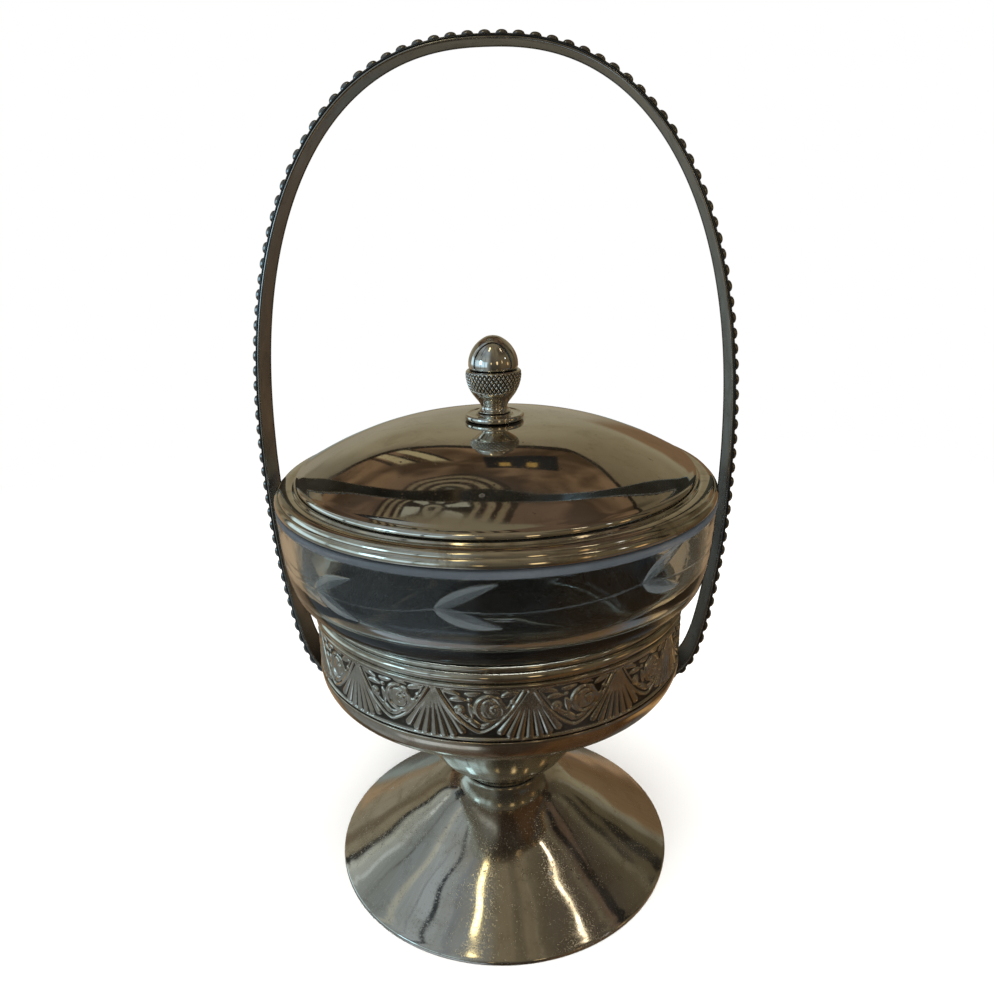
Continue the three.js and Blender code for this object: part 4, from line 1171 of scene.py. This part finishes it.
    v = combo(.3633, .9317)
    u = combo(.9317, -.3633)
    side = combo(1.0, .537, -1.075)
    up = g.ramp(z, 0.30, 0.36)
    field = g.math('MULTIPLY', g.math('MULTIPLY', g.ramp(v, 1.36, 1.33), g.ramp(v, 0.17, 0.23)),
                   g.math('MULTIPLY', g.math('MULTIPLY', g.ramp(side, 0.015, -0.02), g.ramp(cx, -1.27, -1.20)), up))
    near = g.math('MULTIPLY', g.math('MULTIPLY', g.ramp(v, 1.75, 1.36), g.ramp(v, 1.0, 1.3)), g.math('MULTIPLY', g.ramp(cx, -0.1, -0.5), g.ramp(cx, -2.6, -1.2)))
    col = g.mix(g.math('MULTIPLY', near, 0.55), col, (.075, .06, .04, 1))
    brown = g.mix(g.ramp(g.noise(D, 5.0, 2.0, 0.5, 0.4), 0.38, 0.62), (.055, .034, .018, 1), (.185, .118, .068, 1))
    brown = g.mix(g.math('MULTIPLY', g.ramp(v, 0.75, 0.35), 0.5), brown, (.11, .078, .062, 1))
    for c0, half, k in ((0.055, 0.034, 1.0), (0.104, 0.010, -1.0), (0.205, 0.032, 1.0), (0.255, 0.012, -1.0), (-0.02, 0.012, -1.0), (-0.55, 0.014, -0.8)):
        d = g.math('ABSOLUTE', combo(1.0, .45, -c0))
        m = g.math('MULTIPLY', g.math('MULTIPLY', g.ramp(d, half + 0.010, half), g.ramp(v, 0.86, 0.93)), abs(k) * 0.8)
        brown = g.mix(m, brown, (.40, .345, .20, 1) if k > 0 else (.014, .011, .008, 1))
    # skylight: a dark block with two lit panes
    sk = g.math('MULTIPLY', g.ramp(g.math('ABSOLUTE', g.math('SUBTRACT', cx, 0.13)), 0.180, 0.165), g.ramp(g.math('ABSOLUTE', g.math('SUBTRACT', cy, 0.965)), 0.155, 0.140))
    pane = g.math('MULTIPLY', g.ramp(g.math('ABSOLUTE', g.math('SUBTRACT', g.math('ABSOLUTE', g.math('SUBTRACT', cx, 0.11)), 0.062)), 0.030, 0.020),
                  g.ramp(g.math('ABSOLUTE', g.math('SUBTRACT', cy, 0.90)), 0.050, 0.036))
    brown = g.mix(g.math('MULTIPLY', sk, 0.97), brown, (.010, .010, .010, 1))
    brown = g.mix(g.math('MULTIPLY', pane, 0.95), brown, (.42, .27, .08, 1))
    # rose: petals round a boss, inside plain rings
    bx, by = g.math('SUBTRACT', cx, -0.30), g.math('SUBTRACT', cy, 0.37)
    br = g.math('SQRT', g.math('ADD', g.math('MULTIPLY', bx, bx), g.math('MULTIPLY', by, by)))
    ba = g.math('ARCTAN2', by, bx)
    petals = g.math('MULTIPLY', g.ramp(g.math('SINE', g.math('MULTIPLY_ADD', ba, 7.0, 0.8)), -0.15, 0.15), g.math('MULTIPLY', g.ramp(br, 0.185, 0.175), g.ramp(br, 0.070, 0.080)))
    bcol = g.mix(petals, (.026, .022, .016, 1), (.34, .34, .28, 1))
    bcol = g.mix(g.ramp(br, 0.058, 0.048), bcol, (.26, .235, .17, 1))
    bcol = g.mix(g.ramp(br, 0.026, 0.018), bcol, (.02, .016, .012, 1))
    brown = g.mix(g.math('MULTIPLY', g.ramp(br, 0.215, 0.205), 0.95), brown, bcol)
    for ring_r, wd, c in ((0.215, 0.010, (.26, .22, .14)), (0.240, 0.011, (.014, .011, .009)), (0.275, 0.012, (.24, .20, .125)), (0.305, 0.010, (.022, .017, .012)),
                          (0.335, 0.012, (.22, .18, .11)), (0.37, 0.013, (.028, .022, .015))):
        brown = g.mix(g.math('MULTIPLY', g.ramp(g.math('ABSOLUTE', g.math('SUBTRACT', br, ring_r)), wd * 1.5, wd * 0.8), 0.85), brown, (*c, 1))
    col = g.mix(field, col, brown)
    edge = g.math('MAXIMUM', g.math('MULTIPLY', g.ramp(g.math('ABSOLUTE', g.math('SUBTRACT', v, 1.38)), 0.075, 0.050), g.ramp(side, 0.06, 0.03)),
                  g.math('MULTIPLY', g.ramp(g.math('ABSOLUTE', g.math('SUBTRACT', side, 0.02)), 0.035, 0.015), g.math('MULTIPLY', g.ramp(v, 1.42, 1.38), g.ramp(v, 0.2, 0.3))))
    edge = g.math('MULTIPLY', g.math('MULTIPLY', edge, g.ramp(cx, -1.32, -1.26)), up)
    col = g.mix(g.math('MULTIPLY', edge, 0.95), col, (.014, .011, .008, 1))

    # uprights, door edges and a dark opening that the bright metal picks up as lines
    for a_, half, soft, lo_e, hi_e, c, k in ((-55.5, 1.3, 0.6, -4, 62, (.014, .014, .014), 0.97), (-63.5, 3.0, 3.0, 10, 38, (.62, .66, .60), 0.75), (-66.5, 0.9, 0.9, 4, 36, (1.0, 1.1, 1.12), 0.85),
                                             (-76, 0.4, 0.5, 0, 62, (.10, .10, .088), 0.8), (-89, 0.9, 2.0, 10, 60, (.60, .60, .50), 0.6),
                                             (-112, 1.5, 0.8, 14, 84, (.022, .026, .032), 0.95), (-100, 0.3, 0.6, 30, 70, (.14, .15, .16), 0.7), (-129, 1.5, 4.0, 30, 72, (.22, .25, .285), 0.7),
                                             (150, 0.6, 1.2, 40, 78, (.28, .235, .16), 0.6), (168, 3.0, 6.0, 35, 80, (.11, .087, .06), 0.6),
                                             (93.0, 2.4, 0.9, 5, 78, (.012, .010, .008), 0.97), (102, 0.6, 2.0, 15, 70, (.24, .20, .13), 0.6),
                                             (71, 1.2, 3.0, 10, 50, (.20, .17, .11), 0.7), (60, 2.6, 1.3, 17, 25, (.015, .013, .010), 0.9), (66, 2.2, 1.5, 27, 34, (.02, .018, .014), 0.8),
                                             (50, 1.0, 1.5, 0, 30, (.26, .24, .19), 0.5), (-46, 1.0, 3.0, -5, 25, (.15, .105, .06), 0.8),
                                             (-36, 8.0, 8.0, 8, 24, (.15, .13, .09), 0.6)):
        m = g.math('MULTIPLY', within(a_, half, soft), level(lo_e, hi_e))
        col = g.mix(g.math('MULTIPLY', m, k), col, (*c, 1))
    # low window strip at the left, and a bright sill under it
    for a_, half, soft, lo_e, hi_e, c, k in ((-106, 45, 3, -6, 15, (.80, 1.08, 1.25), 0.9), (-106, 44, 3, 13, 33, (.29, .325, .325), 0.65), (-121, 0.9, 0.8, -14, 33, (.05, .06, .07), 0.85), (-92, 0.6, 0.8, -14, 33, (.06, .07, .07), 0.8),
                                             (-141, 0.6, 0.8, -14, 33, (.06, .06, .06), 0.8), (-134, 26, 8, -53, -45, (.80, .94, 1.1), 0.8), (-122, 30, 10, -30, -14, (.28, .295, .28), 0.6)):
        m = g.math('MULTIPLY', within(a_, half, soft), level(lo_e, hi_e))
        col = g.mix(g.math('MULTIPLY', m, k), col, (*c, 1))
    # small warm lights low behind and at the right, picked up by rolls and ridges
    for a_, half, soft, lo_e, hi_e, c, k in ((-171, 1.4, 1.2, 3, 12, (1.5, 1.15, .62), 0.9), (161, 2.6, 1.6, 2, 15, (1.6, 1.2, .66), 0.9), (138, 1.2, 1.0, 6, 18, (1.2, .80, .40), 0.9),
                                             (109, 2.2, 2.0, -4, 6, (1.1, .70, .32), 0.9), (14, 7, 5, -21, -7, (.20, .225, .215), 0.9), (-14, 7, 5, -21, -7, (.29, .35, .335), 0.9),
                                             (0, 4, 4, -13, -6, (.15, .13, .10), 0.85), (30, 15, 6, -17, 11, (.17, .088, .036), 0.8)):
        m = g.math('MULTIPLY', within(a_, half, soft), level(lo_e, hi_e))
        col = g.mix(g.math('MULTIPLY', m, k), col, (*c, 1))
    # warm boards low at the left and right ends, seen through the glass
    for a_, half, soft, lo_e, hi_e, c, k in ((-38, 9, 8, -42, -4, (.47, .33, .20), 0.8), (27, 11, 6, -40, -12, (.42, .27, .15), 0.8),
                                             (-4, 10, 8, -40, -16, (.09, .09, .08), 0.8), (110, 24, 8, -26, -19, (.11, .21, .31), 0.5),
                                             (46, 14, 8, -56, -46, (.13, .155, .18), 0.6), (60, 24, 8, -43, -38, (.90, .58, .26), 0.7)):
        m = g.math('MULTIPLY', within(a_, half, soft), level(lo_e, hi_e, 0.05))
        col = g.mix(g.math('MULTIPLY', m, k), col, (*c, 1))
    soft_n = g.ramp(g.noise(D, 1.7, 1.5, 0.5), 0.30, 0.70, 0.84, 1.16)
    col = g.mix(1.0, col, g.node('ShaderNodeCombineColor', {0: soft_n, 1: soft_n, 2: soft_n}).outputs[0], 'MULTIPLY')
    bg = g.node('ShaderNodeBackground', {'Color': col, 'Strength': 1.0})
    out = g.node('ShaderNodeOutputWorld')
    g.t.links.new(bg.outputs[0], out.inputs[0])


surroundings()


def area(name, pos, target, size, power, colour, shape='RECTANGLE', size_y=None, spread=180.0):
    L = bpy.data.lights.new(name, 'AREA')
    L.shape = shape
    L.size = size
    if size_y:
        L.size_y = size_y
    L.energy = power
    L.color = colour
    L.spread = math.radians(spread)
    o = bpy.data.objects.new(name, L)
    bpy.context.scene.collection.objects.link(o)
    p = Matrix.Rotation(ALPHA, 3, 'Z') @ Vector(pos)
    t = Matrix.Rotation(ALPHA, 3, 'Z') @ Vector(target)
    o.location = p
    o.rotation_euler = (t - p).to_track_quat('-Z', 'Y').to_euler()
    o.visible_camera = False
    return o


area("window_left", (-1.12, -0.66, 0.34), (0, 0, 0.12), 0.28, 0.9, (0.50, 0.80, 1.0), size_y=0.40)
area("lamp_c", (0.98, -0.50, 0.62), (0, 0, 0.1), 0.05, 0.05, (0.92, 0.96, 1.0), size_y=0.10)
soft = area("soft_top", (0.0, -0.1, 1.5), (0, 0, 0.1), 1.6, 40.0, (1.0, 0.99, 0.97), size_y=1.6)
soft.visible_glossy = False
fill = area("fill_front", (0.25, -1.5, 0.9), (0, 0, 0.1), 0.9, 9.0, (1.0, 0.97, 0.93), size_y=0.6)
fill.visible_glossy = False
area("lamp_a", (-0.30, -0.52, 1.30), (0, 0, 0.0), 0.075, 0.34, (1.0, 0.82, 0.40), size_y=0.34)
area("lamp_b", (0.69, -0.38, 1.16), (0, 0, 0.0), 0.042, 0.14, (1.0, 0.84, 0.60), size_y=0.26)

# ------------------------------------------------------------------ camera
cam = bpy.data.cameras.new("view")
cam.sensor_fit = 'HORIZONTAL'
cam.sensor_width = 36.0
cam.lens = 825.0 / 995.0 * 36.0
cam.clip_start = 0.01
cam.clip_end = 20.0
co_ = bpy.data.objects.new("view", cam)
bpy.context.scene.collection.objects.link(co_)
pitch, roll = math.radians(19.13), math.radians(1.35)
SIDE, DIST, HIGH = 0.19, 225.4, 196.7
pos = Vector(((SIDE * math.cos(ALPHA) + DIST * math.sin(ALPHA)) * MM, (SIDE * math.sin(ALPHA) - DIST * math.cos(ALPHA)) * MM, HIGH * MM))
fwd = Vector((-math.sin(ALPHA) * math.cos(pitch), math.cos(ALPHA) * math.cos(pitch), -math.sin(pitch)))
q = fwd.to_track_quat('-Z', 'Y').to_matrix().to_4x4() @ Matrix.Rotation(-roll, 4, 'Z')
co_.matrix_world = Matrix.Translation(pos) @ q
bpy.context.scene.camera = co_
bpy.context.scene.view_settings.view_transform = 'Standard'
bpy.context.scene.view_settings.look = 'None'
bpy.context.scene.view_settings.exposure = 0.0
bpy.context.scene.view_settings.gamma = 1.0
